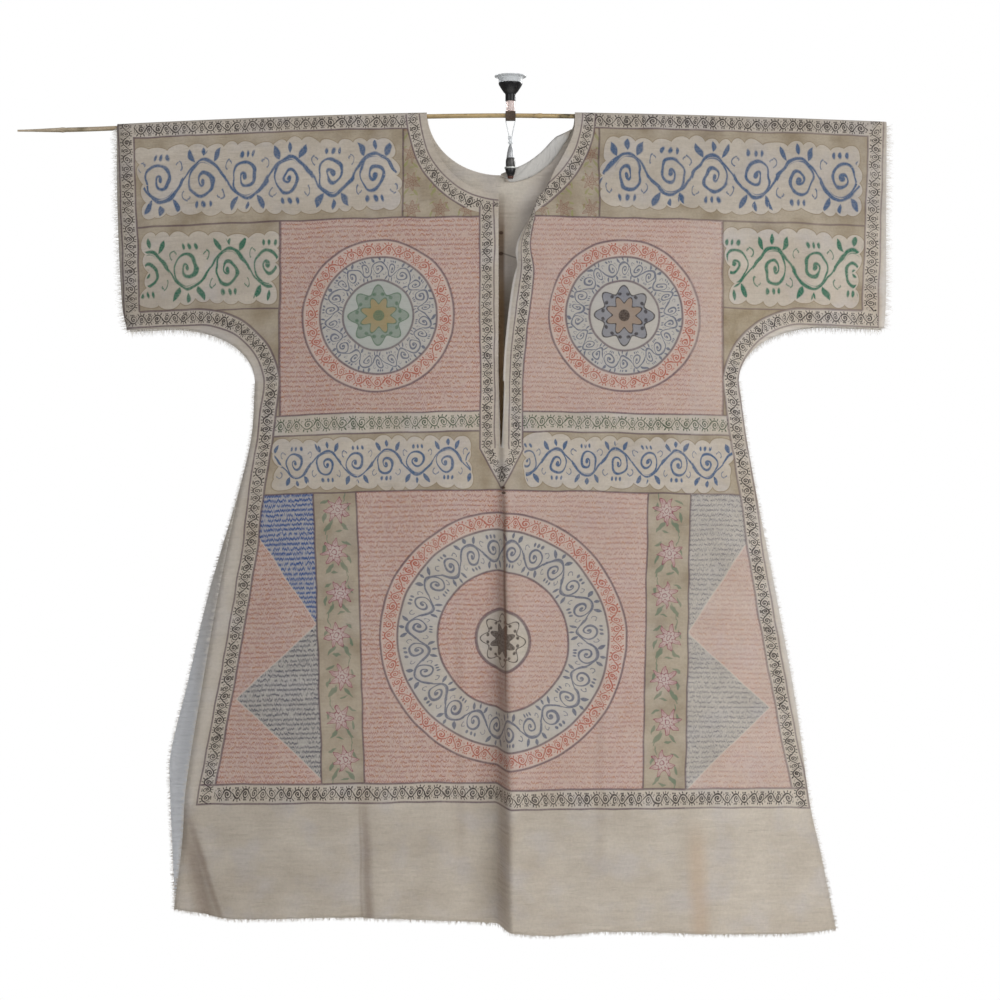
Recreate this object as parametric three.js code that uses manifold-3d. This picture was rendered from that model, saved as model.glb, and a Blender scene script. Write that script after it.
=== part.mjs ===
// Talismanic shirt on its hanging rod. One width of cotton is folded over a bamboo rod at the
// shoulders, with wide sleeves cut in one with the body, a round neck and an open slit. A fitting
// holds the rod at the neck, and a weighted line hangs below it.
//
// Millimetres, +Z up, +X to the right as seen from the front, and the front faces -Y. The origin is
// the middle of the fitting's top face.
//
// Cloth coordinates: x runs sideways from the shirt's centre line, and q runs down the cloth from
// the shoulder fold. A panel's net is laid out in (x, q), and drape() hangs it in space.

import * as THREE from "three";
import { mergeVertices } from "three/addons/utils/BufferGeometryUtils.js";
import Module from "manifold-3d";

const wasm = await Module();
wasm.setup();

// ---------------------------------------------------------------- driving dimensions

const GAP = 0.3; // between pieces that meet
const SHIRT = { x: -11.4, z: -43.2 }; // the shoulder fold's middle, from the origin
const WALL = 1.6; // cloth thickness

const ROD = {
  radius: 3,
  left: -580, // ends, from the shirt's centre line
  right: 443,
  steps: 22,
  sides: 8,
};
const WRAP = ROD.radius + 0.5 + WALL / 2; // radius of the cloth's middle surface round the rod
const WRAP_LENGTH = (Math.PI / 2) * WRAP;

// The rod bows down from the neck: its fall at each sleeve's end, past which it levels off.
const BOW = { reach: 461, left: 15, right: 12, power: 1.6, levelling: 4 };
// The cloth follows the rod's bow at the chest, and mostly hangs level again at the hem.
const LEVEL = { from: 500, to: 840, share: 0.8 };

const NECK = { half: 89, frontDepth: 101, backDepth: 77 };
const SLIT = { left: 3, closing: 300, bottom: 406, end: 0.8 };
const INNER = 96; // the net's first columns run from the neck or slit edge to here

// Underarm: a quarter of an ellipse from the body's edge out to the sleeve's straight lower edge.
const UNDERARM = { left: 294, right: 284, reach: 110, rise: 69, level: 320 };
const SLEEVE_DEPTH = UNDERARM.level - UNDERARM.rise;

const HEM = 970; // nominal length, which the net's lower rows are stretched from

// Sleeve ends, as reach from the centre line.
const SLEEVE_END = [
  { q: 0, left: 460, right: 462 },
  { q: 100, left: 459, right: 461 },
  { q: 220, left: 453, right: 460 },
  { q: 251, left: 447, right: 458 },
];

// Side edges of each panel below the underarm. The back hangs a little to the left of the front.
const FRONT_SIDES = [
  { q: 320, left: 294, right: 284 },
  { q: 385, left: 298, right: 293 },
  { q: 457, left: 314, right: 306 },
  { q: 578, left: 338, right: 330 },
  { q: 700, left: 358, right: 352 },
  { q: 822, left: 376, right: 369 },
  { q: 882, left: 380, right: 382 },
  { q: 985, left: 391, right: 402 },
];
const BACK_SIDES = [
  { q: 320, left: 294, right: 284 },
  { q: 385, left: 299, right: 289 },
  { q: 457, left: 318, right: 300 },
  { q: 578, left: 353, right: 320 },
  { q: 700, left: 380, right: 340 },
  { q: 790, left: 400, right: 354 },
  { q: 830, left: 401, right: 360 },
  { q: 985, left: 395, right: 382 },
];

// Lower edges, from the left corner to the right one.
const FRONT_HEM = [
  { x: -391, q: 952 },
  { x: -345, q: 963 },
  { x: -313, q: 966 },
  { x: -181, q: 965 },
  { x: -85, q: 969 },
  { x: -6, q: 973 },
  { x: 13, q: 977 },
  { x: 60, q: 981 },
  { x: 119, q: 978 },
  { x: 227, q: 982 },
  { x: 311, q: 984 },
  { x: 359, q: 983 },
  { x: 402, q: 977 },
];
const BACK_HEM = [
  { x: -404, q: 945 },
  { x: -300, q: 955 },
  { x: 0, q: 964 },
  { x: 200, q: 972 },
  { x: 382, q: 968 },
];

// Neck and slit edge of the front's right half, whose corner is folded in behind it.
const FLAP_EDGE = [
  { q: 0, x: 89 },
  { q: 32, x: 88 },
  { q: 46, x: 83 },
  { q: 62, x: 71 },
  { q: 90, x: 53 },
  { q: 114, x: 45 },
  { q: 140, x: 29 },
  { q: 164, x: 19 },
  { q: 200, x: 14 },
  { q: 260, x: 8 },
  { q: 320, x: 4.5 },
  { q: 380, x: 2.5 },
  { q: 405, x: 0.8 },
];
// Neck edge of the back's right half, which flops over.
const BACK_NECK_RIGHT = [
  { q: 0, x: 89 },
  { q: 24, x: 84 },
  { q: 30, x: 69 },
  { q: 50, x: 48 },
  { q: 62, x: 32 },
  { q: 70, x: 16 },
  { q: 77, x: 0 },
];

// How far each panel stands off the rod's middle plane.
const STAND = [
  { q: 0, front: WRAP, back: WRAP },
  { q: WRAP_LENGTH, front: WRAP, back: WRAP },
  { q: 60, front: 6, back: 9 },
  { q: 120, front: 7, back: 11 },
  { q: 320, front: 11, back: 15 },
  { q: 600, front: 14, back: 20 },
  { q: 985, front: 17, back: 27 },
];

// The deep centre crease: the right half leads the left one, and a narrow strip from its foot (left)
// to its ridge (right) joins them.
const CREASE = [
  { q: 0, lead: 0, foot: 1, ridge: 1 },
  { q: 60, lead: 4, foot: 1, ridge: 1 },
  { q: 160, lead: 12, foot: 1, ridge: 2 },
  { q: 300, lead: 8, foot: 1, ridge: 2 },
  { q: 406, lead: 6, foot: 2, ridge: 4 },
  { q: 520, lead: 13, foot: 4, ridge: 7 },
  { q: 630, lead: 20, foot: 5, ridge: 9 },
  { q: 820, lead: 33, foot: 6, ridge: 12 },
  { q: 985, lead: 40, foot: 6, ridge: 13 },
];
const LEAD = { fades: 300, power: 1.3 }; // the right half falls back to the side edge
const SETBACK = { depth: 4, width: 70 }; // the left half sinks beside the crease

// Soft folds: each runs from (x, q) at its top to (toX, toQ) at its foot, with its half width and
// its height there. A negative height is a trough.
const FRONT_FOLDS = [
  { x: -166, q: 780, toX: -167, toQ: 985, width: 12, height: -2 },
  { x: -140, q: 780, toX: -136, toQ: 985, width: 20, height: 4 },
  { x: 232, q: 800, toX: 240, toQ: 985, width: 26, height: 3 },
  { x: -368, q: 830, toX: -316, toQ: 970, width: 20, height: -8 },
  { x: -395, q: 860, toX: -382, toQ: 970, width: 18, height: 4 },
  { x: -385, q: 30, toX: -395, toQ: 260, width: 45, height: 2.5 },
  { x: 380, q: 40, toX: 372, toQ: 260, width: 50, height: -2 },
  { x: -230, q: 330, toX: -250, toQ: 760, width: 45, height: 2.5 },
  { x: 250, q: 360, toX: 262, toQ: 800, width: 50, height: 3 },
];
const BACK_FOLDS = [
  { x: -150, q: 250, toX: -210, toQ: 985, width: 46, height: 8 },
  { x: 40, q: 150, toX: 55, toQ: 985, width: 55, height: -7 },
  { x: 190, q: 320, toX: 235, toQ: 985, width: 42, height: 7 },
  { x: -390, q: 40, toX: -380, toQ: 260, width: 50, height: 2 },
  { x: 390, q: 40, toX: 385, toQ: 260, width: 50, height: 2 },
];

// Net rows are values of q at the centre, and net columns are shares of each zone's width.
const WRAP_ROWS = [0, WRAP_LENGTH / 2, WRAP_LENGTH];
const FRONT_NET = {
  rows: [
    ...WRAP_ROWS, 36, 68, 88, 98, 101, 125, 152, 185, 220, 252, 286, 320, 352, 382, 406,
    450, 495, 540, 585, 630, 675, 720, 765, 810, 855, 900, 940, HEM,
  ],
  inner: [0, 0.04, 0.075, 0.135, 0.25, 0.45, 0.7, 1],
  outer: [0.14, 0.29, 0.44, 0.58, 0.72, 0.86, 1],
  sleeve: [0.04, 0.12, 0.25, 0.48, 0.74, 1],
};
const BACK_NET = {
  rows: [
    ...WRAP_ROWS, 24, 30, 50, 62, 70, 77, 110, 150, 200, 250, 285, 320, 370, 425, 485, 545, 605,
    665, 730, 790, 850, 910, HEM,
  ],
  inner: [0, 0.25, 0.6, 1],
  outer: [0.17, 0.34, 0.5, 0.67, 0.84, 1],
  sleeve: [0.03, 0.12, 0.3, 0.6, 1],
};

// Raw fringe: a narrow strip along an edge, with strands that taper to a point.
const FRINGE = { strip: 2, root: 1.4, wall: 1, slant: 2.5 };
const SLEEVE_FRINGE = { pitch: 12, shortest: 4, longest: 8 };
const UNDERARM_FRINGE = { pitch: 14, shortest: 4, longest: 7 };
const HEM_FRINGE = { pitch: 24, shortest: 2.5, longest: 5 };

// Turned pieces on the fitting's axis, as radius and height of each profile point.
const FITTING = {
  hanger_disc: [[19, 0], [19, -1.2], [15, -1.6], [14, -8.4]],
  hanger_cone: [[14.4, -8.7], [13.8, -11], [8.6, -19.2], [6.2, -22], [6.2, -30]],
  hanger_stem: [[5.4, -30.3], [5.2, -42.4]],
  plumb_top: [[1, -81.9], [2.7, -86], [4, -92], [4.9, -98.4]],
  plumb_body: [[5, -98.7], [5.8, -104], [5.6, -109]],
  plumb_ring: [[7.2, -109.3], [7.2, -111.3]],
  plumb_point: [[6.6, -111.6], [5.2, -117], [3.7, -120]],
  plumb_tip: [[3.6, -120.3], [3.2, -123.1]],
};
const FITTING_SIDES = 16;

const CLIP = { width: 12.6, half: 5, above: 4.8, below: 6, bore: 3.55 };
const YOKE = { radius: 0.6, spread: 5.6, sleeve: 2.8, meet: 1.6, joint: -72, foot: -81.6, sides: 8 };

// ---------------------------------------------------------------- small helpers

const lerp = THREE.MathUtils.lerp;
const smoothstep = THREE.MathUtils.smoothstep;

// A column of a table, read smoothly between its rows.
function read(table, key, column, at) {
  const last = table.length - 1;
  if (at <= table[0][key]) return table[0][column];
  if (at >= table[last][key]) return table[last][column];
  const i = table.findIndex((row) => row[key] > at) - 1;
  const slope = (j) => {
    const a = table[Math.max(j - 1, 0)];
    const b = table[Math.min(j + 1, last)];
    return (b[column] - a[column]) / (b[key] - a[key]);
  };
  const span = table[i + 1][key] - table[i][key];
  const t = (at - table[i][key]) / span;
  const start = table[i][column];
  const end = table[i + 1][column];
  const bend = t * (1 - t) * span;
  const straight = (end - start) / span;
  const ease = (slope(i) - straight) * (1 - t) - (slope(i + 1) - straight) * t;
  return lerp(start, end, t) + bend * ease;
}

// A share between 0 and 1 that looks random and is the same on each run.
const scatter = (n) => (n * 0.618034) % 1;

// ---------------------------------------------------------------- how the cloth hangs

// Fall of the rod, and of the cloth that follows it, below the shoulder line at x.
function bow(x) {
  const fall = x < 0 ? BOW.left : BOW.right;
  const reach = Math.abs(x) / BOW.reach;
  const beyond = Math.max(reach - 1, 0);
  const share = Math.min(reach, 1) + beyond / (1 + BOW.levelling * beyond);
  return fall * Math.pow(share, BOW.power);
}

// Sum of a panel's soft folds at a point of the cloth.
function foldHeight(folds, x, q) {
  let height = 0;
  for (const fold of folds) {
    const t = (q - fold.q) / (fold.toQ - fold.q);
    const off = x - lerp(fold.x, fold.toX, t);
    const rise = smoothstep(t, 0, 1);
    height += fold.height * rise * Math.exp(-((off / fold.width) ** 2));
  }
  return height;
}

// How far the front's right half leads its left one, and how far the left one sinks beside it.
function creaseHeight(x, q) {
  const lead = read(CREASE, "q", "lead", q);
  const foot = -read(CREASE, "q", "foot", q);
  const ridge = read(CREASE, "q", "ridge", q);
  const sunk = -SETBACK.depth * (lead / 40) * Math.exp(-Math.max(foot - x, 0) / SETBACK.width);
  if (x <= foot) return sunk;
  const away = Math.min((Math.max(x, ridge) - ridge) / LEAD.fades, 1);
  const led = lead * Math.pow(1 - away, LEAD.power);
  return lerp(sunk, led, smoothstep(x, foot, ridge));
}

// A point of the cloth in space, in the shirt's own frame. face is -1 for the front, 1 for the back.
function drape(face, x, q) {
  const level = 1 - LEVEL.share * smoothstep(q, LEVEL.from, LEVEL.to);
  const fall = bow(x) * level;
  if (q < WRAP_LENGTH) {
    const turn = q / WRAP;
    const out = Math.max(WRAP * Math.sin(turn), GAP / 2);
    return new THREE.Vector3(x, face * out, -WRAP * (1 - Math.cos(turn)) - fall);
  }
  let out = read(STAND, "q", face < 0 ? "front" : "back", q);
  const free = smoothstep(q, WRAP_LENGTH, 60);
  if (face < 0) out += free * (creaseHeight(x, q) + foldHeight(FRONT_FOLDS, x, q));
  else out += free * foldHeight(BACK_FOLDS, x, q);
  return new THREE.Vector3(x, face * out, -WRAP - (q - WRAP_LENGTH) - fall);
}

// The cloth's outward direction at a point.
function outward(face, x, q) {
  if (q === 0) return new THREE.Vector3(0, 0, 1);
  const step = 0.5;
  const across = drape(face, x + step, q).sub(drape(face, x - step, q));
  const down = drape(face, x, q + step).sub(drape(face, x, q - Math.min(step, q)));
  return across.cross(down).multiplyScalar(face).normalize();
}

// ---------------------------------------------------------------- panel outlines

function frontInner(side, q) {
  if (q >= SLIT.bottom) return 0;
  if (side > 0) return read(FLAP_EDGE, "q", "x", q);
  const closing = smoothstep(q, SLIT.closing, SLIT.bottom);
  const slit = lerp(SLIT.left, SLIT.end, closing);
  const within = Math.max(1 - (q / NECK.frontDepth) ** 2, 0);
  return Math.max(NECK.half * Math.sqrt(within), slit);
}

function backInner(side, q) {
  if (q >= NECK.backDepth) return 0;
  if (side > 0) return read(BACK_NECK_RIGHT, "q", "x", q);
  return NECK.half * Math.sqrt(1 - (q / NECK.backDepth) ** 2);
}

// Depth of the sleeve's lower edge at a distance from the centre line.
function underarm(side, reach) {
  const body = side < 0 ? UNDERARM.left : UNDERARM.right;
  const t = THREE.MathUtils.clamp((body + UNDERARM.reach - reach) / UNDERARM.reach, 0, 1);
  return UNDERARM.level - UNDERARM.rise * Math.sqrt(1 - t * t);
}

const FRONT = {
  face: -1,
  net: FRONT_NET,
  inner: frontInner,
  joined: SLIT.bottom,
  sides: FRONT_SIDES,
  hem: FRONT_HEM,
};
const BACK = {
  face: 1,
  net: BACK_NET,
  inner: backInner,
  joined: NECK.backDepth,
  sides: BACK_SIDES,
  hem: BACK_HEM,
};

// Net point in cloth coordinates. Columns run from the inner edge out, rows from the fold down.
function place(panel, side, row, column) {
  const { inner, outer, sleeve } = panel.net;
  const column_side = side < 0 ? "left" : "right";
  const q = panel.net.rows[row];
  const edge = q <= UNDERARM.level ? UNDERARM[column_side] : read(panel.sides, "q", column_side, q);
  if (column < inner.length) {
    return { x: side * lerp(panel.inner(side, q), INNER, inner[column]), q };
  }
  if (column < inner.length + outer.length) {
    return { x: side * lerp(INNER, edge, outer[column - inner.length]), q };
  }
  const share = sleeve[column - inner.length - outer.length];
  const end = read(SLEEVE_END, "q", column_side, (q * SLEEVE_DEPTH) / UNDERARM.level);
  const reach = lerp(edge, end, share);
  const depth = (underarm(side, reach) - WRAP_LENGTH) / (UNDERARM.level - WRAP_LENGTH);
  const stretched = q <= WRAP_LENGTH ? q : WRAP_LENGTH + (q - WRAP_LENGTH) * depth;
  return { x: side * reach, q: stretched };
}

// The same point with the lower rows stretched to the hem.
function hemmed(panel, point) {
  if (point.q <= UNDERARM.level) return point;
  const hem = read(panel.hem, "x", "q", point.x);
  const share = (point.q - UNDERARM.level) / (HEM - UNDERARM.level);
  return { x: point.x, q: lerp(UNDERARM.level, hem, share) };
}

// ---------------------------------------------------------------- walls from nets

// A net of the cloth's middle surface: points with their outward directions, and triangles.
class Net {
  constructor() {
    this.points = [];
    this.outs = [];
    this.faces = [];
    this.named = new Map();
  }

  add(point, out, name = null) {
    if (name !== null && this.named.has(name)) return this.named.get(name);
    this.points.push(point);
    this.outs.push(out);
    const id = this.points.length - 1;
    if (name !== null) this.named.set(name, id);
    return id;
  }

  quad(a, b, c, d) {
    this.faces.push([a, b, c], [a, c, d]);
  }

  // A closed wall of even thickness on both sides of the net.
  wall(thickness) {
    const count = this.points.length;
    const positions = [];
    for (const half of [thickness / 2, -thickness / 2]) {
      this.points.forEach((point, i) => {
        const moved = point.clone().addScaledVector(this.outs[i], half);
        positions.push(moved.x, moved.y, moved.z);
      });
    }
    const index = [];
    const rim = new Map();
    for (const [a, b, c] of this.faces) {
      index.push(a, b, c, count + a, count + c, count + b);
      for (const [from, to] of [[a, b], [b, c], [c, a]]) {
        if (!rim.delete(`${to} ${from}`)) rim.set(`${from} ${to}`, [from, to]);
      }
    }
    for (const [from, to] of rim.values()) {
      index.push(to, from, count + from, to, count + from, count + to);
    }
    const geometry = new THREE.BufferGeometry();
    geometry.setAttribute("position", new THREE.Float32BufferAttribute(positions, 3));
    geometry.setIndex(index);
    return geometry;
  }
}

// The net of a whole panel. Its two halves share their middle points below the neck or slit.
function panelNet(panel) {
  const net = new Net();
  const { rows, inner, outer, sleeve } = panel.net;
  const columns = inner.length + outer.length;
  const corner = (side, row, column) => {
    const middle = column === 0 && rows[row] >= panel.joined;
    const name = middle ? `middle ${row}` : `${side} ${row} ${column}`;
    const { x, q } = hemmed(panel, place(panel, side, row, column));
    return net.add(drape(panel.face, x, q), outward(panel.face, x, q), name);
  };
  for (const side of [-1, 1]) {
    for (let row = 0; row < rows.length - 1; row += 1) {
      const beside = rows[row + 1] <= UNDERARM.level ? columns + sleeve.length : columns;
      for (let column = 0; column < beside - 1; column += 1) {
        const a = corner(side, row, column);
        const b = corner(side, row + 1, column);
        const c = corner(side, row + 1, column + 1);
        const d = corner(side, row, column + 1);
        if (side * panel.face < 0) net.quad(a, b, c, d);
        else net.quad(a, d, c, b);
      }
    }
  }
  net.corner = corner;
  return net;
}

// Net points along a sleeve's end, from just under the fold to the lower corner, each with the
// point next to it inside the cloth.
function sleeveEdge(panel, side) {
  const { rows, inner, outer, sleeve } = panel.net;
  const end = inner.length + outer.length + sleeve.length - 1;
  const edge = [];
  rows.forEach((q, row) => {
    if (q > WRAP_LENGTH && q <= UNDERARM.level) edge.push([[side, row, end], [side, row, end - 1]]);
  });
  return edge;
}

// Net points along a sleeve's lower edge, from its outer corner to the underarm, each with the point
// above it.
function underarmEdge(panel, side) {
  const { rows, inner, outer, sleeve } = panel.net;
  const level = rows.indexOf(UNDERARM.level);
  const body = inner.length + outer.length - 1;
  const edge = [];
  for (let column = body + sleeve.length; column > body; column -= 1) {
    edge.push([[side, level, column], [side, level - 1, column]]);
  }
  return edge;
}

// Net points along the hem from left to right, each with the point above it.
function hemEdge(panel) {
  const last = panel.net.rows.length - 1;
  const count = panel.net.inner.length + panel.net.outer.length;
  const edge = [];
  for (let column = count - 1; column > 0; column -= 1) {
    edge.push([[-1, last, column], [-1, last - 1, column]]);
  }
  for (let column = 0; column < count; column += 1) {
    edge.push([[1, last, column], [1, last - 1, column]]);
  }
  return edge;
}

// A fringe along a chain of a panel's edge points: a strip just off the cloth, with tapering strands.
function fringeNet(panelCloth, edge, sizes) {
  const stations = [];
  const ends = edge.map(([at, inside]) => {
    const id = panelCloth.corner(...at);
    const point = panelCloth.points[id];
    const off = point.clone().sub(panelCloth.points[panelCloth.corner(...inside)]).normalize();
    return { point, off, out: panelCloth.outs[id] };
  });
  const between = (a, b, t, strand) => {
    const point = a.point.clone().lerp(b.point, t);
    const along = b.point.clone().sub(a.point).normalize();
    const off = a.off.clone().lerp(b.off, t);
    off.addScaledVector(along, -off.dot(along)).normalize();
    const out = a.out.clone().lerp(b.out, t).normalize();
    return { point, off, out, along, strand };
  };
  for (let i = 0; i < ends.length - 1; i += 1) {
    const length = ends[i].point.distanceTo(ends[i + 1].point);
    const strands = Math.round(length / sizes.pitch);
    stations.push(between(ends[i], ends[i + 1], 0, false));
    for (let n = 0; n < strands; n += 1) {
      stations.push(between(ends[i], ends[i + 1], (n + 0.5) / strands, true));
    }
  }
  stations.push(between(ends[ends.length - 2], ends[ends.length - 1], 1, false));

  const net = new Net();
  const at = (station, off, along) => {
    const point = station.point.clone().addScaledVector(station.off, off);
    return net.add(point.addScaledVector(station.along, along), station.out);
  };
  const lower = GAP + FRINGE.strip;
  let before = null;
  stations.forEach((station, n) => {
    const root = at(station, GAP, 0);
    const half = FRINGE.root / 2;
    const first = at(station, lower, station.strand ? -half : 0);
    const second = station.strand ? at(station, lower, half) : first;
    if (before) net.quad(before.root, before.second, first, root);
    if (station.strand) {
      const reach = lower + lerp(sizes.shortest, sizes.longest, scatter(n));
      const tip = at(station, reach, FRINGE.slant * (2 * scatter(n * 3 + 1) - 1));
      net.faces.push([root, first, second], [first, tip, second]);
    }
    before = { root, second };
  });
  // A strip that runs the other way round its panel has its triangles turned to face out.
  const { along, off, out } = stations[0];
  if (along.clone().cross(off).dot(out) > 0) net.faces.forEach((face) => face.reverse());
  return net;
}

// ---------------------------------------------------------------- the rod and its fitting

class RodLine extends THREE.Curve {
  getPoint(t, target = new THREE.Vector3()) {
    const x = lerp(ROD.left, ROD.right, t);
    return target.set(x, 0, -WRAP - bow(x));
  }
}

function ring(radius, sides) {
  const points = [];
  for (let i = 0; i < sides; i += 1) {
    const turn = (2 * Math.PI * i) / sides;
    points.push(new THREE.Vector2(radius * Math.cos(turn), radius * Math.sin(turn)));
  }
  return points;
}

function tube(path, radius, sides, steps) {
  const section = new THREE.Shape(ring(radius, sides));
  return new THREE.ExtrudeGeometry(section, { extrudePath: path, steps, bevelEnabled: false });
}

// A turned piece whose profile runs downwards from its top edge.
function turned(profile) {
  const points = profile.map(([radius, height]) => new THREE.Vector2(radius, height));
  const top = new THREE.Vector2(0, profile[0][1]);
  const bottom = new THREE.Vector2(0, profile[profile.length - 1][1]);
  const outline = [bottom, ...points.reverse(), top];
  return new THREE.LatheGeometry(outline, FITTING_SIDES).rotateX(Math.PI / 2);
}

// A block clipped round the rod, bored along X.
function clip() {
  const outline = new THREE.Shape([
    new THREE.Vector2(-CLIP.half, -CLIP.below),
    new THREE.Vector2(CLIP.half, -CLIP.below),
    new THREE.Vector2(CLIP.half, CLIP.above),
    new THREE.Vector2(-CLIP.half, CLIP.above),
  ]);
  outline.holes.push(new THREE.Path(ring(CLIP.bore, 12)));
  const block = new THREE.ExtrudeGeometry(outline, { depth: CLIP.width, bevelEnabled: false });
  block.translate(0, 0, -CLIP.width / 2);
  block.rotateX(Math.PI / 2);
  block.rotateZ(Math.PI / 2);
  return block.translate(0, 0, SHIRT.z - WRAP);
}

function solidOf(geometry) {
  const bare = geometry.index ? geometry.toNonIndexed() : geometry.clone();
  bare.deleteAttribute("normal");
  bare.deleteAttribute("uv");
  const merged = mergeVertices(bare, 1e-4);
  const triVerts = new Uint32Array(merged.index.array);
  const vertProperties = merged.attributes.position.array;
  return new wasm.Manifold(new wasm.Mesh({ numProp: 3, vertProperties, triVerts }));
}

function geometryOf(solid) {
  const { vertProperties, triVerts } = solid.getMesh();
  const geometry = new THREE.BufferGeometry();
  geometry.setAttribute("position", new THREE.BufferAttribute(vertProperties, 3));
  geometry.setIndex(new THREE.BufferAttribute(triVerts, 1));
  return geometry;
}

// Two strands from the clip's lower face that meet in the clear sleeve above the weight.
function yoke() {
  const top = SHIRT.z - WRAP - CLIP.below - GAP - YOKE.radius / 3;
  const strand = (from, to, radius) => {
    const path = new THREE.LineCurve3(new THREE.Vector3(...from), new THREE.Vector3(...to));
    return solidOf(tube(path, radius, YOKE.sides, 1));
  };
  const inside = YOKE.joint - 2 * YOKE.radius;
  const left = strand([-YOKE.spread, 0, top], [-YOKE.meet, 0, inside], YOKE.radius);
  const right = strand([YOKE.spread, 0, top], [YOKE.meet, 0, inside], YOKE.radius);
  const sleeve = strand([0, 0, YOKE.joint], [0, 0, YOKE.foot], YOKE.sleeve);
  return geometryOf(left.add(right).add(sleeve));
}

// ---------------------------------------------------------------- assembly

const finish = (color, roughness, metalness = 0) =>
  new THREE.MeshStandardMaterial({ color, roughness, metalness });

const COTTON = finish(0xb2aa9b, 0.9);
const RAW_EDGE = finish(0xcfc9bd, 0.95);
const BAMBOO = finish(0x8d6f3f, 0.5);
const FITTING_FINISH = {
  hanger_disc: finish(0xa9acb0, 0.25),
  hanger_cone: finish(0x17171a, 0.35),
  hanger_stem: finish(0xd9c9c6, 0.3),
  plumb_top: finish(0x8f9296, 0.35, 0.8),
  plumb_body: finish(0x2b2b2d, 0.4),
  plumb_ring: finish(0xb9bbb8, 0.3, 0.7),
  plumb_point: finish(0x1f1f21, 0.4),
  plumb_tip: finish(0x4a2a22, 0.5),
};
const CLIP_BROWN = finish(0x4f3a24, 0.5);
const CLEAR_LINE = finish(0xdde3e6, 0.2);

function mesh(name, geometry, material) {
  const made = new THREE.Mesh(geometry, material);
  made.name = name;
  return made;
}

const shirt = new THREE.Group();
shirt.position.set(SHIRT.x, 0, SHIRT.z);

for (const [name, panel] of [["front", FRONT], ["back", BACK]]) {
  const cloth = panelNet(panel);
  shirt.add(mesh(`${name}_panel`, cloth.wall(WALL), COTTON));
  for (const [hand, side] of [["left", -1], ["right", 1]]) {
    const sleeve = fringeNet(cloth, sleeveEdge(panel, side), SLEEVE_FRINGE);
    shirt.add(mesh(`fringe_sleeve_${hand}_${name}`, sleeve.wall(FRINGE.wall), RAW_EDGE));
    const under = fringeNet(cloth, underarmEdge(panel, side), UNDERARM_FRINGE);
    shirt.add(mesh(`fringe_underarm_${hand}_${name}`, under.wall(FRINGE.wall), RAW_EDGE));
  }
  const hem = fringeNet(cloth, hemEdge(panel), HEM_FRINGE);
  shirt.add(mesh(`fringe_hem_${name}`, hem.wall(FRINGE.wall), RAW_EDGE));
}
shirt.add(mesh("rod", tube(new RodLine(), ROD.radius, ROD.sides, ROD.steps), BAMBOO));

const part = new THREE.Group();
part.add(shirt);
for (const [name, profile] of Object.entries(FITTING)) {
  part.add(mesh(name, turned(profile), FITTING_FINISH[name]));
}
part.add(mesh("rod_clip", clip(), CLIP_BROWN));
part.add(mesh("line_yoke", yoke(), CLEAR_LINE));

export default part;
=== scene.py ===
"""Looks of a talismanic shirt hung on a bamboo rod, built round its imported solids.

Cloth coordinates are in millimetres: x runs sideways from the shirt's middle line and q runs down the cloth
from the shoulder fold. Drawn coordinates (u, v) are the same measures on the flat cloth, where the ornament
was laid out. Everything that Blender gets is in metres.
"""

import logging
import math
import random
from bisect import bisect_right
from dataclasses import dataclass, field
from enum import Enum
from functools import reduce
from typing import Callable, Sequence

import bpy
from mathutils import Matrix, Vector


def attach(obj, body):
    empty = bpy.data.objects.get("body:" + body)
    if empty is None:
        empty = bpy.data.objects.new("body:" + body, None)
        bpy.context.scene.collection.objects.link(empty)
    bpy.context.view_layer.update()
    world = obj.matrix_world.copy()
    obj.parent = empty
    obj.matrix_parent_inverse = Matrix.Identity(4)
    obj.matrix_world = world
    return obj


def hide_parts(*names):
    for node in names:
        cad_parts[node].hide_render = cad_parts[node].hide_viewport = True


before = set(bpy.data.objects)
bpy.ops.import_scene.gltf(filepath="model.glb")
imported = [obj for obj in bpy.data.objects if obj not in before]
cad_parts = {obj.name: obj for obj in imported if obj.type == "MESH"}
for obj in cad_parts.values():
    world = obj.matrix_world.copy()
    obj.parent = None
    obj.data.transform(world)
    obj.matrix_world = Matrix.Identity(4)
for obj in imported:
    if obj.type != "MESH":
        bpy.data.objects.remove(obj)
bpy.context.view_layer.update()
LOG = logging.getLogger("talismanic_shirt")

MM = 0.001
BODY = "root"
SEED = 7
Number = "float | Field"
Colour = tuple[float, float, float]
Rows = Sequence[Sequence[float]]
Place = tuple[float, float]


# ---------------------------------------------------------------- tables and small helpers


def lerp(start: float, end: float, share: float) -> float:
    """A value part of the way from start to end."""
    return start + (end - start) * share


def smoothstep(value: float, low: float, high: float) -> float:
    """0 below low, 1 above high and a smooth rise between them."""
    share = min(max((value - low) / (high - low), 0.0), 1.0)
    return share * share * (3 - 2 * share)


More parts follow.
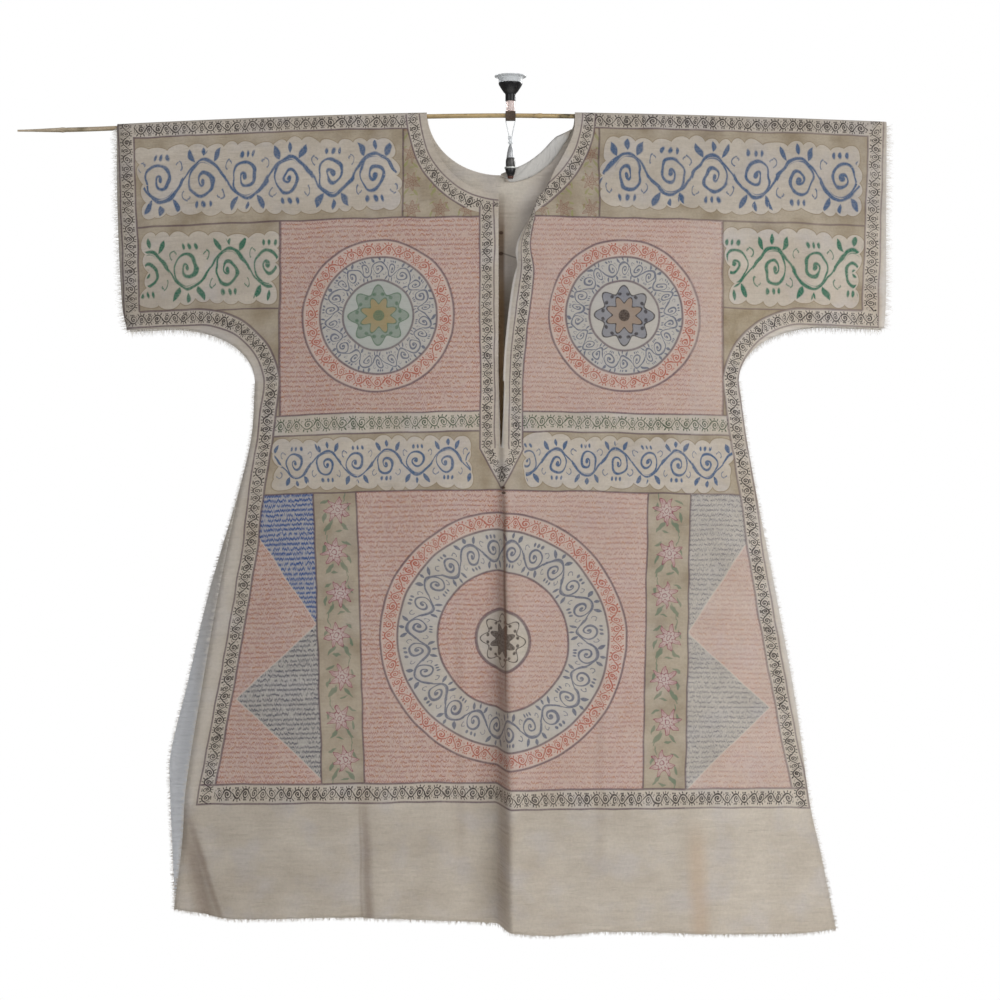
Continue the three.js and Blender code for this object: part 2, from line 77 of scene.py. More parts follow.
class Table:
    """Rows of named columns, read smoothly between the rows by the first column."""

    def __init__(self, columns: str, rows: Rows) -> None:
        """Keep the rows as one list for each column.

        Args:
            columns: The column names, split by spaces.
            rows: A value for each column.
        """
        names = columns.split()
        self.data = {name: [row[i] for row in rows] for i, name in enumerate(names)}
        self.keys = self.data[names[0]]

    def read(self, column: str, at: float) -> float:
        """Read a column.

        Args:
            column: The column's name.
            at: The value of the first column.

        Returns:
            The column's value there, held level past both ends.
        """
        keys, values = self.keys, self.data[column]
        if at <= keys[0]:
            return values[0]
        if at >= keys[-1]:
            return values[-1]
        row = bisect_right(keys, at) - 1

        def slope(i: int) -> float:
            """Slope through the rows on both sides of a row."""
            low, high = max(i - 1, 0), min(i + 1, len(keys) - 1)
            return (values[high] - values[low]) / (keys[high] - keys[low])

        span = keys[row + 1] - keys[row]
        share = (at - keys[row]) / span
        straight = (values[row + 1] - values[row]) / span
        ease = (slope(row) - straight) * (1 - share) - (slope(row + 1) - straight) * share
        return lerp(values[row], values[row + 1], share) + share * (1 - share) * span * ease


def as_piece(
    thing: bpy.types.Object, name: str, slot: str, stands_for: Sequence[str] = ()
) -> bpy.types.Object:
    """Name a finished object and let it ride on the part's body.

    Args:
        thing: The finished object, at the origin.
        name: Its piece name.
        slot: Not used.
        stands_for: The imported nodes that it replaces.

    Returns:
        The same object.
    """
    thing.name = name
    thing.data.name = name
    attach(thing, BODY)
    if stands_for:
        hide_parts(*stands_for)
    LOG.info("%s: %d faces", name, len(thing.data.polygons))
    return thing


def only(thing: bpy.types.Object) -> None:
    """Select one object alone and make it the active one."""
    bpy.ops.object.select_all(action="DESELECT")
    thing.select_set(True)
    bpy.context.view_layer.objects.active = thing


def linked(name: str, data: bpy.types.ID) -> bpy.types.Object:
    """A new object in the scene."""
    thing = bpy.data.objects.new(name, data)
    bpy.context.scene.collection.objects.link(thing)
    return thing


def added(primitive: Callable, **settings: object) -> bpy.types.Object:
    """A primitive added with nothing else selected, and its place and turn applied to its mesh."""
    bpy.ops.object.select_all(action="DESELECT")
    primitive(**settings)
    bpy.ops.object.transform_apply(location=True, rotation=True, scale=True)
    return bpy.context.object


def close_outwards() -> None:
    """Turn all faces of the mesh in edit mode outwards, and leave edit mode."""
    bpy.ops.mesh.select_all(action="SELECT")
    bpy.ops.mesh.normals_make_consistent(inside=False)
    bpy.ops.object.mode_set(mode="OBJECT")


def smooth_shaded(thing: bpy.types.Object, degrees: float) -> None:
    """Shade an object smooth but for edges sharper than an angle."""
    only(thing)
    bpy.ops.object.shade_smooth_by_angle(angle=math.radians(degrees))


# ---------------------------------------------------------------- the shirt's sizes

SHIRT_AT = Vector((-11.4, 0, -43.2))
ROD_RADIUS = 3.0
CLOTH_WALL = 1.6
SHELL = 0.9
WRAP = ROD_RADIUS + 0.5 + CLOTH_WALL / 2
WRAP_LENGTH = math.pi / 2 * WRAP

BOW_LEFT, BOW_RIGHT, BOW_REACH, BOW_POWER, BOW_LEVELLING = 15.0, 12.0, 461.0, 1.6, 4.0
LEVEL_FROM, LEVEL_TO, LEVEL_SHARE = 500.0, 840.0, 0.8

NECK_HALF, FRONT_NECK_DEPTH, BACK_NECK_DEPTH = 89.0, 101.0, 77.0
SLIT_LEFT, SLIT_CLOSING, SLIT_BOTTOM, SLIT_END = 3.0, 300.0, 406.0, 0.8
INNER = 96.0

UNDERARM_BODY = {-1: 294.0, 1: 284.0}
UNDERARM_REACH, UNDERARM_RISE, UNDERARM_LEVEL = 110.0, 69.0, 320.0
SLEEVE_DEPTH = UNDERARM_LEVEL - UNDERARM_RISE
HEM = 970.0
SIDE_NAME = {-1: "left", 1: "right"}
# Rows and columns of the nets crowd towards the neck edge and the underarm by these powers.
SLEEVE_POWER, NECK_POWER = 1.8, 1.4

SLEEVE_END = Table("q left right", ((0, 460, 462), (100, 459, 461), (220, 453, 460), (251, 447, 458)))
FRONT_SIDES = Table(
    "q left right",
    (
        (320, 294, 284), (385, 298, 293), (457, 314, 306), (578, 338, 330), (700, 358, 352),
        (822, 376, 369), (882, 380, 382), (985, 391, 402),
    ),
)
BACK_SIDES = Table(
    "q left right",
    (
        (320, 294, 284), (385, 299, 289), (457, 318, 300), (578, 353, 320), (700, 380, 340),
        (790, 400, 354), (830, 401, 360), (985, 395, 382),
    ),
)
FRONT_HEM = Table(
    "x q",
    (
        (-391, 952), (-345, 963), (-313, 966), (-181, 965), (-85, 969), (-6, 973), (13, 977), (60, 981),
        (119, 978), (227, 982), (311, 984), (359, 983), (402, 977),
    ),
)
BACK_HEM = Table("x q", ((-404, 945), (-300, 955), (0, 964), (200, 972), (382, 968)))
FLAP_FOLD = Table(
    "q x",
    (
        (0, 89), (24, 88), (47, 79), (73, 65), (96, 54), (107, 44), (117, 41), (137, 31), (160, 20.5),
        (175, 18.6), (186, 21), (200, 17), (216, 13.8), (261, 8.2), (295, 5.2), (321, 4), (370, 2.5),
        (405, 0.8),
    ),
)
BACK_NECK_RIGHT = Table("q x", ((0, 89), (24, 84), (30, 69), (50, 48), (62, 32), (70, 16), (77, 0)))
# Width of cloth turned in behind the front's right neck edge, and turned over in front of the back's.
FRONT_TURNING = Table(
    "q width", ((0, 0), (70, 1), (90, 12), (114, 36), (137, 20), (160, 7), (200, 4), (330, 3))
)
BACK_TURNING = Table("q width", ((20, 0), (30, 14), (44, 19), (62, 20), (72, 17), (77, 11)))
# How the flap's edge draws the cloth back along x: at the edge, and where the band's outer line lies.
FLAP_PULL = Table(
    "q edge line moved",
    (
        (105, 0, 56, 0), (119, 12, 46, 5.6), (129, 28, 40, 14.5), (137, 27, 38, 12.5),
        (163, 19, 34.4, 8.9), (193, 17, 39, 13.5), (223, 12, 36, 10.5), (276, 6, 30.7, 5.2),
        (313, 3, 27, 1.5), (370, 1.5, 25.8, 0.3), (405, 0, 25.5, 0),
    ),
)
FLAP_CURL = Table("q depth", ((112, 0), (135, 5), (180, 6), (230, 4), (300, 1.5), (345, 0)))
PULL_FADES, CURL_WIDTH, LEAST_PULLED = 30.0, 6.0, 3.0

STAND = Table(
    "q front back",
    (
        (0, WRAP, WRAP), (WRAP_LENGTH, WRAP, WRAP), (60, 6, 9), (120, 7, 11), (320, 11, 15), (600, 14, 20),
        (985, 17, 27),
    ),
)
CREASE = Table(
    "q lead foot ridge",
    (
        (0, 0, 1, 1), (60, 4, 1, 1), (160, 12, 1, 2), (300, 8, 1, 2), (406, 6, 2, 4), (520, 13, 4, 7),
        (630, 20, 5, 9), (820, 33, 6, 12), (985, 40, 6, 13),
    ),
)
LEAD_FADES, LEAD_POWER = 300.0, 1.3
SETBACK_DEPTH, SETBACK_WIDTH, FULL_LEAD = 4.0, 70.0, 40.0
# Where the cloth hangs free of the rod, where the crease takes up all its cloth, and how far it shears.
FREE_FROM, CREASED_FROM, CREASE_SHEAR = 60.0, 540.0, 3.0

# Soft folds that deepen towards their foot: top x and q, foot x and q, half width and height.
FRONT_FOLDS = (
    (-168, 770, -168, 985, 7, -4), (-150, 780, -146, 985, 16, 4), (-188, 770, -190, 985, 14, 2),
    (232, 800, 240, 985, 26, 3), (-397, 806, -352, 966, 15, -11), (-400, 850, -390, 970, 12, 3),
    (-385, 30, -395, 260, 45, 2.5), (380, 40, 372, 260, 50, -2), (-230, 330, -250, 760, 45, 2.5),
    (250, 360, 262, 800, 50, 3),
)
BACK_FOLDS = (
    (-150, 250, -210, 985, 40, 9), (40, 150, 55, 985, 46, -10), (190, 320, 235, 985, 36, 9),
    (-62, 380, -84, 985, 24, 9), (-305, 430, -338, 985, 26, -9), (134, 400, 146, 985, 22, -9),
    (316, 470, 338, 985, 24, 8), (-130, 560, -146, 985, 18, -8), (-390, 40, -380, 260, 50, 2),
    (390, 40, 385, 260, 50, 2), (-250, 60, -262, 330, 26, -4), (258, 60, 270, 330, 26, 4),
)
# Shallow creases that rise and fade along their length, in the same columns.
FRONT_CREASES = (
    (-340, 902, -215, 914, 7, -0.9), (-250, 868, -120, 862, 8, 0.7), (-110, 905, -20, 899, 6, -0.8),
    (40, 872, 170, 884, 8, 0.8), (90, 925, 250, 915, 7, -0.9), (210, 868, 350, 880, 9, 0.8),
    (300, 930, 385, 922, 7, 0.7), (-352, 800, -330, 930, 9, -1.1), (-60, 500, -84, 760, 14, 0.9),
    (-150, 470, -128, 640, 12, -0.8), (-20, 640, -44, 930, 12, -1.2), (60, 560, 88, 800, 14, 0.9),
    (130, 720, 112, 950, 13, -0.9), (300, 640, 322, 900, 15, 1.0), (-300, 560, -322, 780, 14, -0.9),
    (120, 150, 90, 330, 16, 1.0), (180, 260, 150, 420, 14, -0.8), (-120, 140, -96, 320, 16, -0.9),
    (-210, 240, -260, 330, 13, 0.9), (215, 250, 262, 335, 13, 1.0), (-330, 120, -420, 150, 15, 0.8),
    (310, 90, 430, 130, 16, -0.8), (-400, 180, -300, 215, 12, -0.7), (330, 190, 430, 180, 13, 0.8),
    (30, 110, 62, 210, 9, 1.2), (-40, 130, -30, 260, 9, -0.8), (-180, 930, -90, 940, 5, -0.7),
    (150, 905, 200, 950, 6, 0.7), (-290, 935, -240, 890, 6, 0.7), (330, 850, 372, 900, 7, -0.9),
    (20, 940, 70, 948, 5, 0.7), (-440, 60, -430, 230, 8, -0.9), (436, 60, 428, 240, 8, 0.9),
    (-250, 470, -270, 640, 10, 0.8), (238, 470, 262, 600, 10, -0.8),
)
BACK_CREASES = (
    (-60, 110, -170, 260, 16, -2.0), (70, 110, 180, 250, 16, 1.9), (-280, 330, -330, 620, 15, 2.0),
    (270, 340, 300, 600, 14, -2.0), (-90, 420, -120, 700, 15, -2.2), (110, 480, 130, 800, 14, 2.0),
    (-330, 700, -345, 940, 12, -2.4), (320, 700, 330, 940, 12, 2.0), (-20, 600, 10, 930, 13, 2.0),
    (-250, 860, -110, 872, 8, 1.4), (60, 890, 240, 880, 8, -1.5), (-380, 120, -290, 170, 14, 1.5),
    (300, 150, 400, 120, 14, -1.5), (-160, 620, -60, 640, 9, 1.2), (160, 560, 250, 545, 9, -1.2),
    (-200, 120, -215, 330, 18, -3.7), (205, 110, 225, 320, 18, 3.4), (-30, 120, -70, 420, 20, 4.1),
    (40, 250, 20, 560, 18, -3.7), (-6, 96, 74, 74, 5, 3.0), (-4, 114, 78, 92, 6, -3.2),
    (0, 132, 66, 112, 6, 3.0), (4, 168, 50, 150, 7, -4.1), (-210, 400, -250, 800, 20, -4.4),
    (160, 420, 150, 860, 20, 4.1), (300, 520, 330, 900, 16, 3.4), (-300, 480, -330, 860, 16, 3.1),
    (-100, 760, -110, 965, 12, 2.7), (90, 740, 84, 965, 12, -2.7),
)


class Face(Enum):
    """Which side of the rod a panel hangs on."""

    FRONT = -1
    BACK = 1


def bow(x: float) -> float:
    """Fall of the rod below the shoulder line, which levels off past the sleeve's end."""
    reach = abs(x) / BOW_REACH
    beyond = max(reach - 1, 0)
    share = min(reach, 1) + beyond / (1 + BOW_LEVELLING * beyond)
    return (BOW_LEFT if x < 0 else BOW_RIGHT) * share**BOW_POWER


def fold_height(folds: Rows, creases: Rows, x: float, q: float) -> float:
    """How far soft folds and shallow creases lift the cloth.

    Args:
        folds: Folds that stay at full height past their foot.
        creases: Creases that fade at both ends.
        x: Sideways place on the cloth.
        q: Place down the cloth.

    Returns:
        The height in millimetres.
    """
    height = 0.0
    for top_x, top_q, foot_x, foot_q, width, rise in folds:
        share = (q - top_q) / (foot_q - top_q)
        off = (x - lerp(top_x, foot_x, share)) / width
        height += rise * smoothstep(share, 0, 1) * math.exp(-off * off)
    for from_x, from_q, to_x, to_q, width, rise in creases:
        along_x, along_q = to_x - from_x, to_q - from_q
        length = math.hypot(along_x, along_q)
        share = ((x - from_x) * along_x + (q - from_q) * along_q) / length**2
        if 0 < share < 1:
            off = ((x - from_x) * along_q - (q - from_q) * along_x) / length / width
            height += rise * math.sin(math.pi * share) * math.exp(-off * off)
    return height


def crease_height(x: float, q: float) -> float:
    """How far the front's right half leads its left one at the deep middle crease."""
    lead, foot, ridge = (CREASE.read(name, q) for name in ("lead", "foot", "ridge"))
    sunk = -SETBACK_DEPTH * (lead / FULL_LEAD) * math.exp(-max(-foot - x, 0) / SETBACK_WIDTH)
    if x <= -foot:
        return sunk
    away = min((max(x, ridge) - ridge) / LEAD_FADES, 1)
    return lerp(sunk, lead * (1 - away) ** LEAD_POWER, smoothstep(x, -foot, ridge))


def hung(face: Face, x: float, q: float, lift: float = 0.0) -> Vector:
    """A point of the cloth in the frame, in metres.

    Args:
        face: The panel's side of the rod.
        x: Sideways place on the cloth.
        q: Place down the cloth.
        lift: Distance off the cloth, away from the other panel.

    Returns:
        The point.
    """
    fall = bow(x) * (1 - LEVEL_SHARE * smoothstep(q, LEVEL_FROM, LEVEL_TO))
    if q < WRAP_LENGTH:
        turn = q / WRAP
        out, height = (WRAP + lift) * math.sin(turn), -WRAP + (WRAP + lift) * math.cos(turn)
        return (SHIRT_AT + Vector((x, face.value * out, height - fall))) * MM
    free = smoothstep(q, WRAP_LENGTH, FREE_FROM)
    if face is Face.FRONT:
        shaped = crease_height(x, q) + fold_height(FRONT_FOLDS, FRONT_CREASES, x, q)
        if x > 0:
            curled = math.exp(-max(x - FLAP_FOLD.read("x", q), 0) / CURL_WIDTH)
            shaped -= FLAP_CURL.read("depth", q) * curled
        out = STAND.read("front", q) + free * shaped
    else:
        out = STAND.read("back", q) + free * fold_height(BACK_FOLDS, BACK_CREASES, x, q)
    return (SHIRT_AT + Vector((x, face.value * (out + lift), -WRAP - (q - WRAP_LENGTH) - fall))) * MM


def pull(x: float, q: float) -> float:
    """How far the curled flap edge has drawn a point of the front's right half outwards."""
    fold = FLAP_FOLD.read("x", q)
    edge, line, moved = (FLAP_PULL.read(name, q) for name in ("edge", "line", "moved"))
    span = max(line - fold, LEAST_PULLED)
    if x - fold < span:
        return lerp(edge, moved, (x - fold) / span)
    return moved * (1 - smoothstep(x - fold - span, 0, PULL_FADES))


def drawn_at(face: Face, x: float, q: float) -> Place:
    """Where a point of the cloth lies in the drawn design.

    Args:
        face: The panel's side of the rod.
        x: Sideways place on the cloth.
        q: Place down the cloth.

    Returns:
        u from the middle line and v from the shoulder fold, on the flat cloth.
    """
    if face is Face.BACK:
        return x, q
    if x > 0 and q < SLIT_BOTTOM:
        return x - pull(x, q), q
    lead, foot, ridge = (CREASE.read(name, q) for name in ("lead", "foot", "ridge"))
    width = foot + ridge
    half = lerp(width, math.hypot(width, lead), smoothstep(q, SLIT_BOTTOM, CREASED_FROM)) / 2
    share = min(max((x + foot) / width, 0), 1)
    u = lerp(-half, half, share) + min(x + foot, 0) + max(x - ridge, 0)
    return u, q - lead / FULL_LEAD * lerp(-CREASE_SHEAR, CREASE_SHEAR, share)


# ---------------------------------------------------------------- the cloth's panels


@dataclass
class Net:
    """A net of points of the cloth, each with its place in the drawn design."""

    points: list[Vector] = field(default_factory=list)
    drawn: list[Place] = field(default_factory=list)
    faces: list[tuple[int, ...]] = field(default_factory=list)
    named: dict[tuple, int] = field(default_factory=dict)

    def add(self, name: tuple, make: Callable[[], tuple[Vector, Place]]) -> int:
        """The number of a named point, which is made the first time that it is asked for."""
        if name not in self.named:
            point, drawn = make()
            self.named[name] = len(self.points)
            self.points.append(point)
            self.drawn.append(drawn)
        return self.named[name]

    def flat_area(self) -> float:
        """Area of the cut in square metres, from the drawn coordinates."""
        area = 0.0
        for face in self.faces:
            ring = [self.drawn[i] for i in face]
            area += sum(a[0] * b[1] - b[0] * a[1] for a, b in zip(ring, ring[1:] + ring[:1])) / 2
        return abs(area) * MM * MM

    def mesh(self, name: str) -> bpy.types.Object:
        """An object with the net's faces and a UV map named Drawn, in metres of flat cloth."""
        data = bpy.data.meshes.new(name)
        data.from_pydata(self.points, [], self.faces)
        layer = data.uv_layers.new(name="Drawn")
        for loop in data.loops:
            u, v = self.drawn[loop.vertex_index]
            layer.data[loop.index].uv = (u * MM, v * MM)
        return linked(name, data)


@dataclass
class Panel:
    """The front or the back of the shirt, with its half of both sleeves."""

    face: Face
    joined: float
    neck_depth: float
    sides: Table
    hem: Table
    turning: Table
    inner_columns: int = 24
    outer_columns: int = 34
    sleeve_columns: int = 26
    neck_rows: int = 22
    row_height: float = 6.2
    turning_columns: int = 7
    least_turning: float = 0.3
    fold_radius: float = 1.0
    probe: float = 0.5
    near: float = 0.01

    def __post_init__(self) -> None:
        """Work out the rows of the net."""
        wrap = [WRAP_LENGTH * i / 4 for i in range(5)]
        first = math.asin(WRAP_LENGTH / self.neck_depth)
        turns = [lerp(first, math.pi / 2, i / self.neck_rows) for i in range(1, self.neck_rows + 1)]
        self.rows = wrap + [self.neck_depth * math.sin(turn) for turn in turns]
        for stop in sorted({self.joined, UNDERARM_LEVEL, HEM} - {self.rows[-1]}):
            if stop > self.rows[-1] + 1:
                start = self.rows[-1]
                count = math.ceil((stop - start) / self.row_height)
                self.rows += [lerp(start, stop, i / count) for i in range(1, count + 1)]

    @property
    def name(self) -> str:
        """The panel's name in piece and node names."""
        return self.face.name.lower()

    def inner_edge(self, side: int, q: float) -> float:
        """Distance of the neck or slit edge from the middle line."""
        if q >= self.joined - self.near:
            return 0.0
        within = NECK_HALF * math.sqrt(max(1 - (q / self.neck_depth) ** 2, 0))
        if self.face is Face.BACK:
            return BACK_NECK_RIGHT.read("x", q) if side > 0 else within
        if side > 0:
            return FLAP_FOLD.read("x", q)
        slit = lerp(SLIT_LEFT, SLIT_END, smoothstep(q, SLIT_CLOSING, SLIT_BOTTOM))
        return max(within, slit)

    def underarm(self, side: int, reach: float) -> float:
        """Depth of the sleeve's lower edge at a distance from the middle line."""
        share = (UNDERARM_BODY[side] + UNDERARM_REACH - reach) / UNDERARM_REACH
        share = min(max(share, 0), 1)
        return UNDERARM_LEVEL - UNDERARM_RISE * math.sqrt(1 - share * share)

    def body_edge(self, side: int, q: float) -> float:
        """Distance of the body's side edge, or of the underarm's inner end, from the middle line."""
        return UNDERARM_BODY[side] if q <= UNDERARM_LEVEL else self.sides.read(SIDE_NAME[side], q)

    def in_sleeve(self, side: int, q: float, share: float) -> Place:
        """A point of the sleeve half, by the row's depth and its share of the way to the sleeve's end."""
        edge = self.body_edge(side, q)
        end = SLEEVE_END.read(SIDE_NAME[side], q * SLEEVE_DEPTH / UNDERARM_LEVEL)
        reach = lerp(edge, end, share)
        depth = (self.underarm(side, reach) - WRAP_LENGTH) / (UNDERARM_LEVEL - WRAP_LENGTH)
        return side * reach, q if q <= WRAP_LENGTH else WRAP_LENGTH + (q - WRAP_LENGTH) * depth

    def to_hem(self, x: float, q: float) -> Place:
        """The same point with the rows below the underarm stretched to the hem."""
        if q <= UNDERARM_LEVEL:
            return x, q
        share = (q - UNDERARM_LEVEL) / (HEM - UNDERARM_LEVEL)
        return x, lerp(UNDERARM_LEVEL, self.hem.read("q", x), share)

    def place(self, side: int, row: int, column: int) -> Place:
        """Cloth coordinates of a net point."""
        q = self.rows[row]
        edge = self.body_edge(side, q)
        if column <= self.inner_columns:
            share = column / self.inner_columns
            x = side * lerp(self.inner_edge(side, q), INNER, 0.5 * share + 0.5 * share * share)
        elif column <= self.inner_columns + self.outer_columns:
            x = side * lerp(INNER, edge, (column - self.inner_columns) / self.outer_columns)
        else:
            share = (column - self.inner_columns - self.outer_columns) / self.sleeve_columns
            return self.in_sleeve(side, q, share**SLEEVE_POWER)
        return self.to_hem(x, q)

    def fold_over(self, q: float, distance: float) -> tuple[Place, Place, float]:
        """A point of the cloth that is turned over along the right neck edge.

        Args:
            q: Where the fold line is left.
            distance: Distance from the fold line on the turned cloth.

        Returns:
            The place over the panel, the place on the flat cloth and the distance behind the panel.
        """
        x, down = self.inner_edge(1, q), self.probe
        run = self.inner_edge(1, min(q + down, self.joined - 2 * self.near)) - self.inner_edge(1, q - down)
        length = math.hypot(run, 2 * down)
        across = Vector((2 * down / length, -run / length))
        turned = min(distance / self.fold_radius, math.pi)
        off = distance - math.pi * self.fold_radius
        if turned < math.pi:
            off = -self.fold_radius * math.sin(turned)
        over = (x + across.x * off, q + across.y * off)
        start = drawn_at(self.face, x, q)[0]
        cut = (start - across.x * distance, q - across.y * distance)
        return over, cut, self.fold_radius * (1 - math.cos(turned))

    def net(self) -> Net:
        """The net of the panel, with its turned edge."""
        net = Net()

        def point(x: float, q: float) -> tuple[Vector, Place]:
            """A point in space and its place in the design."""
            return hung(self.face, x, q), drawn_at(self.face, x, q)

        def join(ring: list[int], flipped: bool) -> None:
            """Add a face that looks away from the other panel."""
            net.faces.append(tuple(ring[::-1] if flipped else ring))

        def corner(side: int, row: int, column: int) -> int:
            """The number of a net point."""
            middle = column == 0 and self.rows[row] >= self.joined - self.near
            name = ("middle", row) if middle else (side, row, column)
            return net.add(name, lambda: point(*self.place(side, row, column)))

        def turned(row: int, column: int) -> int:
            """The number of a point on the turned edge, whose column 0 is the panel's own edge."""
            if column == 0:
                return corner(1, row, 0)
            q = self.rows[row]
            width = max(self.turning.read("width", q), self.least_turning)
            over, cut, behind = self.fold_over(q, width * column / self.turning_columns)
            return net.add(("turned", row, column), lambda: (hung(self.face, *over, -behind), cut))

        columns = self.inner_columns + self.outer_columns
        for row in range(len(self.rows) - 1):
            last = columns + self.sleeve_columns if self.rows[row + 1] <= UNDERARM_LEVEL else columns
            for side in (-1, 1):
                for column in range(last):
                    steps = ((0, 0), (1, 0), (1, 1), (0, 1))
                    ring = [corner(side, row + down, column + out) for down, out in steps]
                    join(ring, side * self.face.value > 0)
            low, high = self.turning.keys[0], self.turning.keys[-1]
            if low < self.rows[row] and self.rows[row + 1] < min(high, self.joined):
                for column in range(self.turning_columns):
                    steps = ((0, 1), (1, 1), (1, 0), (0, 0))
                    ring = [turned(row + down, column + out) for down, out in steps]
                    join(ring, self.face.value > 0)
        return net

    def bake_map(self, data: bpy.types.Mesh) -> None:
        """Give the shell a map without overlaps: wide for the outer face, a strip for the inner one."""
        drawn = data.uv_layers["Drawn"].data
        baked = data.uv_layers.new(name="OFBake").data
        half_span, foot, rise = 0.48, 0.01, 0.98
        outer, inner = (0.01, 0.80), (0.83, 0.15)
        for face in data.polygons:
            start, width = inner if face.material_index == 1 else outer
            for i in face.loop_indices:
                u, v = drawn[i].uv
                baked[i].uv = (start + (u + half_span) / (2 * half_span) * width, foot + v * rise)

    def build(self, outer: bpy.types.Material, inner: bpy.types.Material) -> tuple[bpy.types.Object, float]:
        """Make the panel as a closed thin shell.

        Args:
            outer: Finish of the face that looks away from the other panel.
            inner: Finish of the face between the panels, and of the cut edges.

        Returns:
            The piece and the flat area of its cut in square metres.
        """
        net = self.net()
        thing = net.mesh(f"shirt_{self.name}")
        data = thing.data
        for finish in (outer, inner, inner):
            data.materials.append(finish)
        only(thing)
        wall = thing.modifiers.new("wall", "SOLIDIFY")
        wall.thickness = SHELL * MM
        wall.offset = 0.0
        wall.material_offset = 1
        wall.material_offset_rim = 2
        bpy.ops.object.modifier_apply(modifier="wall")
        self.bake_map(thing.data)
        bpy.ops.object.shade_smooth()
        as_piece(thing, thing.name, f"cotton_{self.name}", (f"{self.name}_panel",))
        return thing, net.flat_area()


# ---------------------------------------------------------------- raw edges


class Edge(Enum):
    """The cut edges of a panel that fray."""

    SLEEVE = "sleeve"
    UNDERARM = "underarm"
    SIDE = "side"
    HEM = "hem"
    NECK = "neck"


@dataclass
class Fray:
    """Loose thread ends along one cut edge of a panel."""

    panel: Panel
    edge: Edge
    side: int
    pitch: float = 0.9
    shortest: float = 2.0
    longest: float = 7.0
    thickness: float = 0.46
    steps: int = 3
    sides: int = 3
    links: int = 60
    rooted: float = 0.6
    lean: float = 0.45
    curl: float = 0.3
    taper: float = 0.6
    short_bias: float = 1.7

    @property
    def name(self) -> str:
        """The edge's name in piece and node names."""
        hand = "" if self.edge is Edge.HEM else f"_{SIDE_NAME[self.side]}"
        return f"{self.edge.value}{hand}_{self.panel.name}"

    def chain(self) -> list[Place]:
        """Cloth coordinates along the edge, close enough together to walk."""
        panel, side = self.panel, self.side
        shares = [i / self.links for i in range(self.links + 1)]
        if self.edge is Edge.SLEEVE:
            rows = [lerp(WRAP_LENGTH + 1, UNDERARM_LEVEL, share) for share in shares]
            return [panel.in_sleeve(side, q, 1) for q in rows]
        if self.edge is Edge.UNDERARM:
            return [panel.in_sleeve(side, UNDERARM_LEVEL, (1 - share) ** SLEEVE_POWER) for share in shares]
        if self.edge is Edge.NECK:
            rows = [lerp(WRAP_LENGTH + 3, panel.joined - 2, share**NECK_POWER) for share in shares]
            return [(side * panel.inner_edge(side, q), q) for q in rows]
        if self.edge is Edge.SIDE:
            rows = [lerp(UNDERARM_LEVEL + 1, HEM, share) for share in shares]
            return [panel.to_hem(side * panel.body_edge(side, q), q) for q in rows]
        ends = [-panel.body_edge(-1, HEM), panel.body_edge(1, HEM)]
        return [panel.to_hem(lerp(*ends, share), HEM) for share in shares]

    def away(self) -> Place:
        """The way off the cloth at this edge, in cloth coordinates."""
        if self.edge in (Edge.SLEEVE, Edge.SIDE):
            return float(self.side), 0.0
        if self.edge is Edge.NECK:
            return -float(self.side), 0.0
        return 0.0, 1.0

    def build(self, finish: bpy.types.Material, chance: random.Random) -> bpy.types.Object:
        """Make the threads as one mesh of tapering strands.

        Args:
            finish: The thread's finish.
            chance: The source of the threads' differences.

        Returns:
            The piece.
        """
        points: list[Vector] = []
        faces: list[tuple[int, ...]] = []
        face, away = self.panel.face, self.away()
        chain = self.chain()
        for (x0, q0), (x1, q1) in zip(chain, chain[1:]):
            length = math.hypot(x1 - x0, q1 - q0)
            if length < 1e-6:
                continue
            for _ in range(max(round(length / self.pitch), 1)):
                share = chance.random()
                x, q = lerp(x0, x1, share), lerp(q0, q1, share)
                root = hung(face, x - away[0] * self.rooted, q - away[1] * self.rooted)
                off = (hung(face, x + away[0], q + away[1]) - root).normalized()
                along = (hung(face, x1, q1) - hung(face, x0, q0)).normalized()
                out = off.cross(along).normalized()
                reach = lerp(self.shortest, self.longest, chance.random() ** self.short_bias) * MM
                slant, curl = chance.uniform(-self.lean, self.lean), chance.uniform(-self.curl, self.curl)
                first = len(points)
                for step in range(self.steps + 1):
                    t = step / self.steps
                    centre = root + off * reach * t + (along * slant + out * curl) * reach * t * t
                    radius = self.thickness / 2 * MM * (1 - self.taper * t)
                    for i in range(self.sides):
                        turn = math.tau * i / self.sides
                        rim = along * math.cos(turn) + out * math.sin(turn)
                        points.append(centre + rim * radius)
                    if step:
                        low = first + (step - 1) * self.sides
                        for i in range(self.sides):
                            j = (i + 1) % self.sides
                            faces.append((low + i, low + j, low + self.sides + j, low + self.sides + i))
                faces.append(tuple(first + i for i in reversed(range(self.sides))))
                faces.append(tuple(len(points) - self.sides + i for i in range(self.sides)))
        data = bpy.data.meshes.new(f"fray_{self.name}")
        data.from_pydata(points, [], faces)
        data.materials.append(finish)
        thing = linked(data.name, data)
        only(thing)
        bpy.ops.object.mode_set(mode="EDIT")
        close_outwards()
        stands_for = () if self.edge in (Edge.SIDE, Edge.NECK) else (f"fringe_{self.name}",)
        return as_piece(thing, data.name, "raw_edge", stands_for)


# ---------------------------------------------------------------- shader maths


def maths(operation: str, reflected: bool = False) -> Callable[["Field", Number], "Field"]:
    """One of Python's operators, as a Math node.

    Args:
        operation: The node's operation.
        reflected: Whether the field stands on the right.

    Returns:
        The operator's method.
    """

    def method(self: "Field", other: Number) -> "Field":
        """Add the node."""
        return self.graph.math(operation, *((other, self) if reflected else (self, other)))

    return method


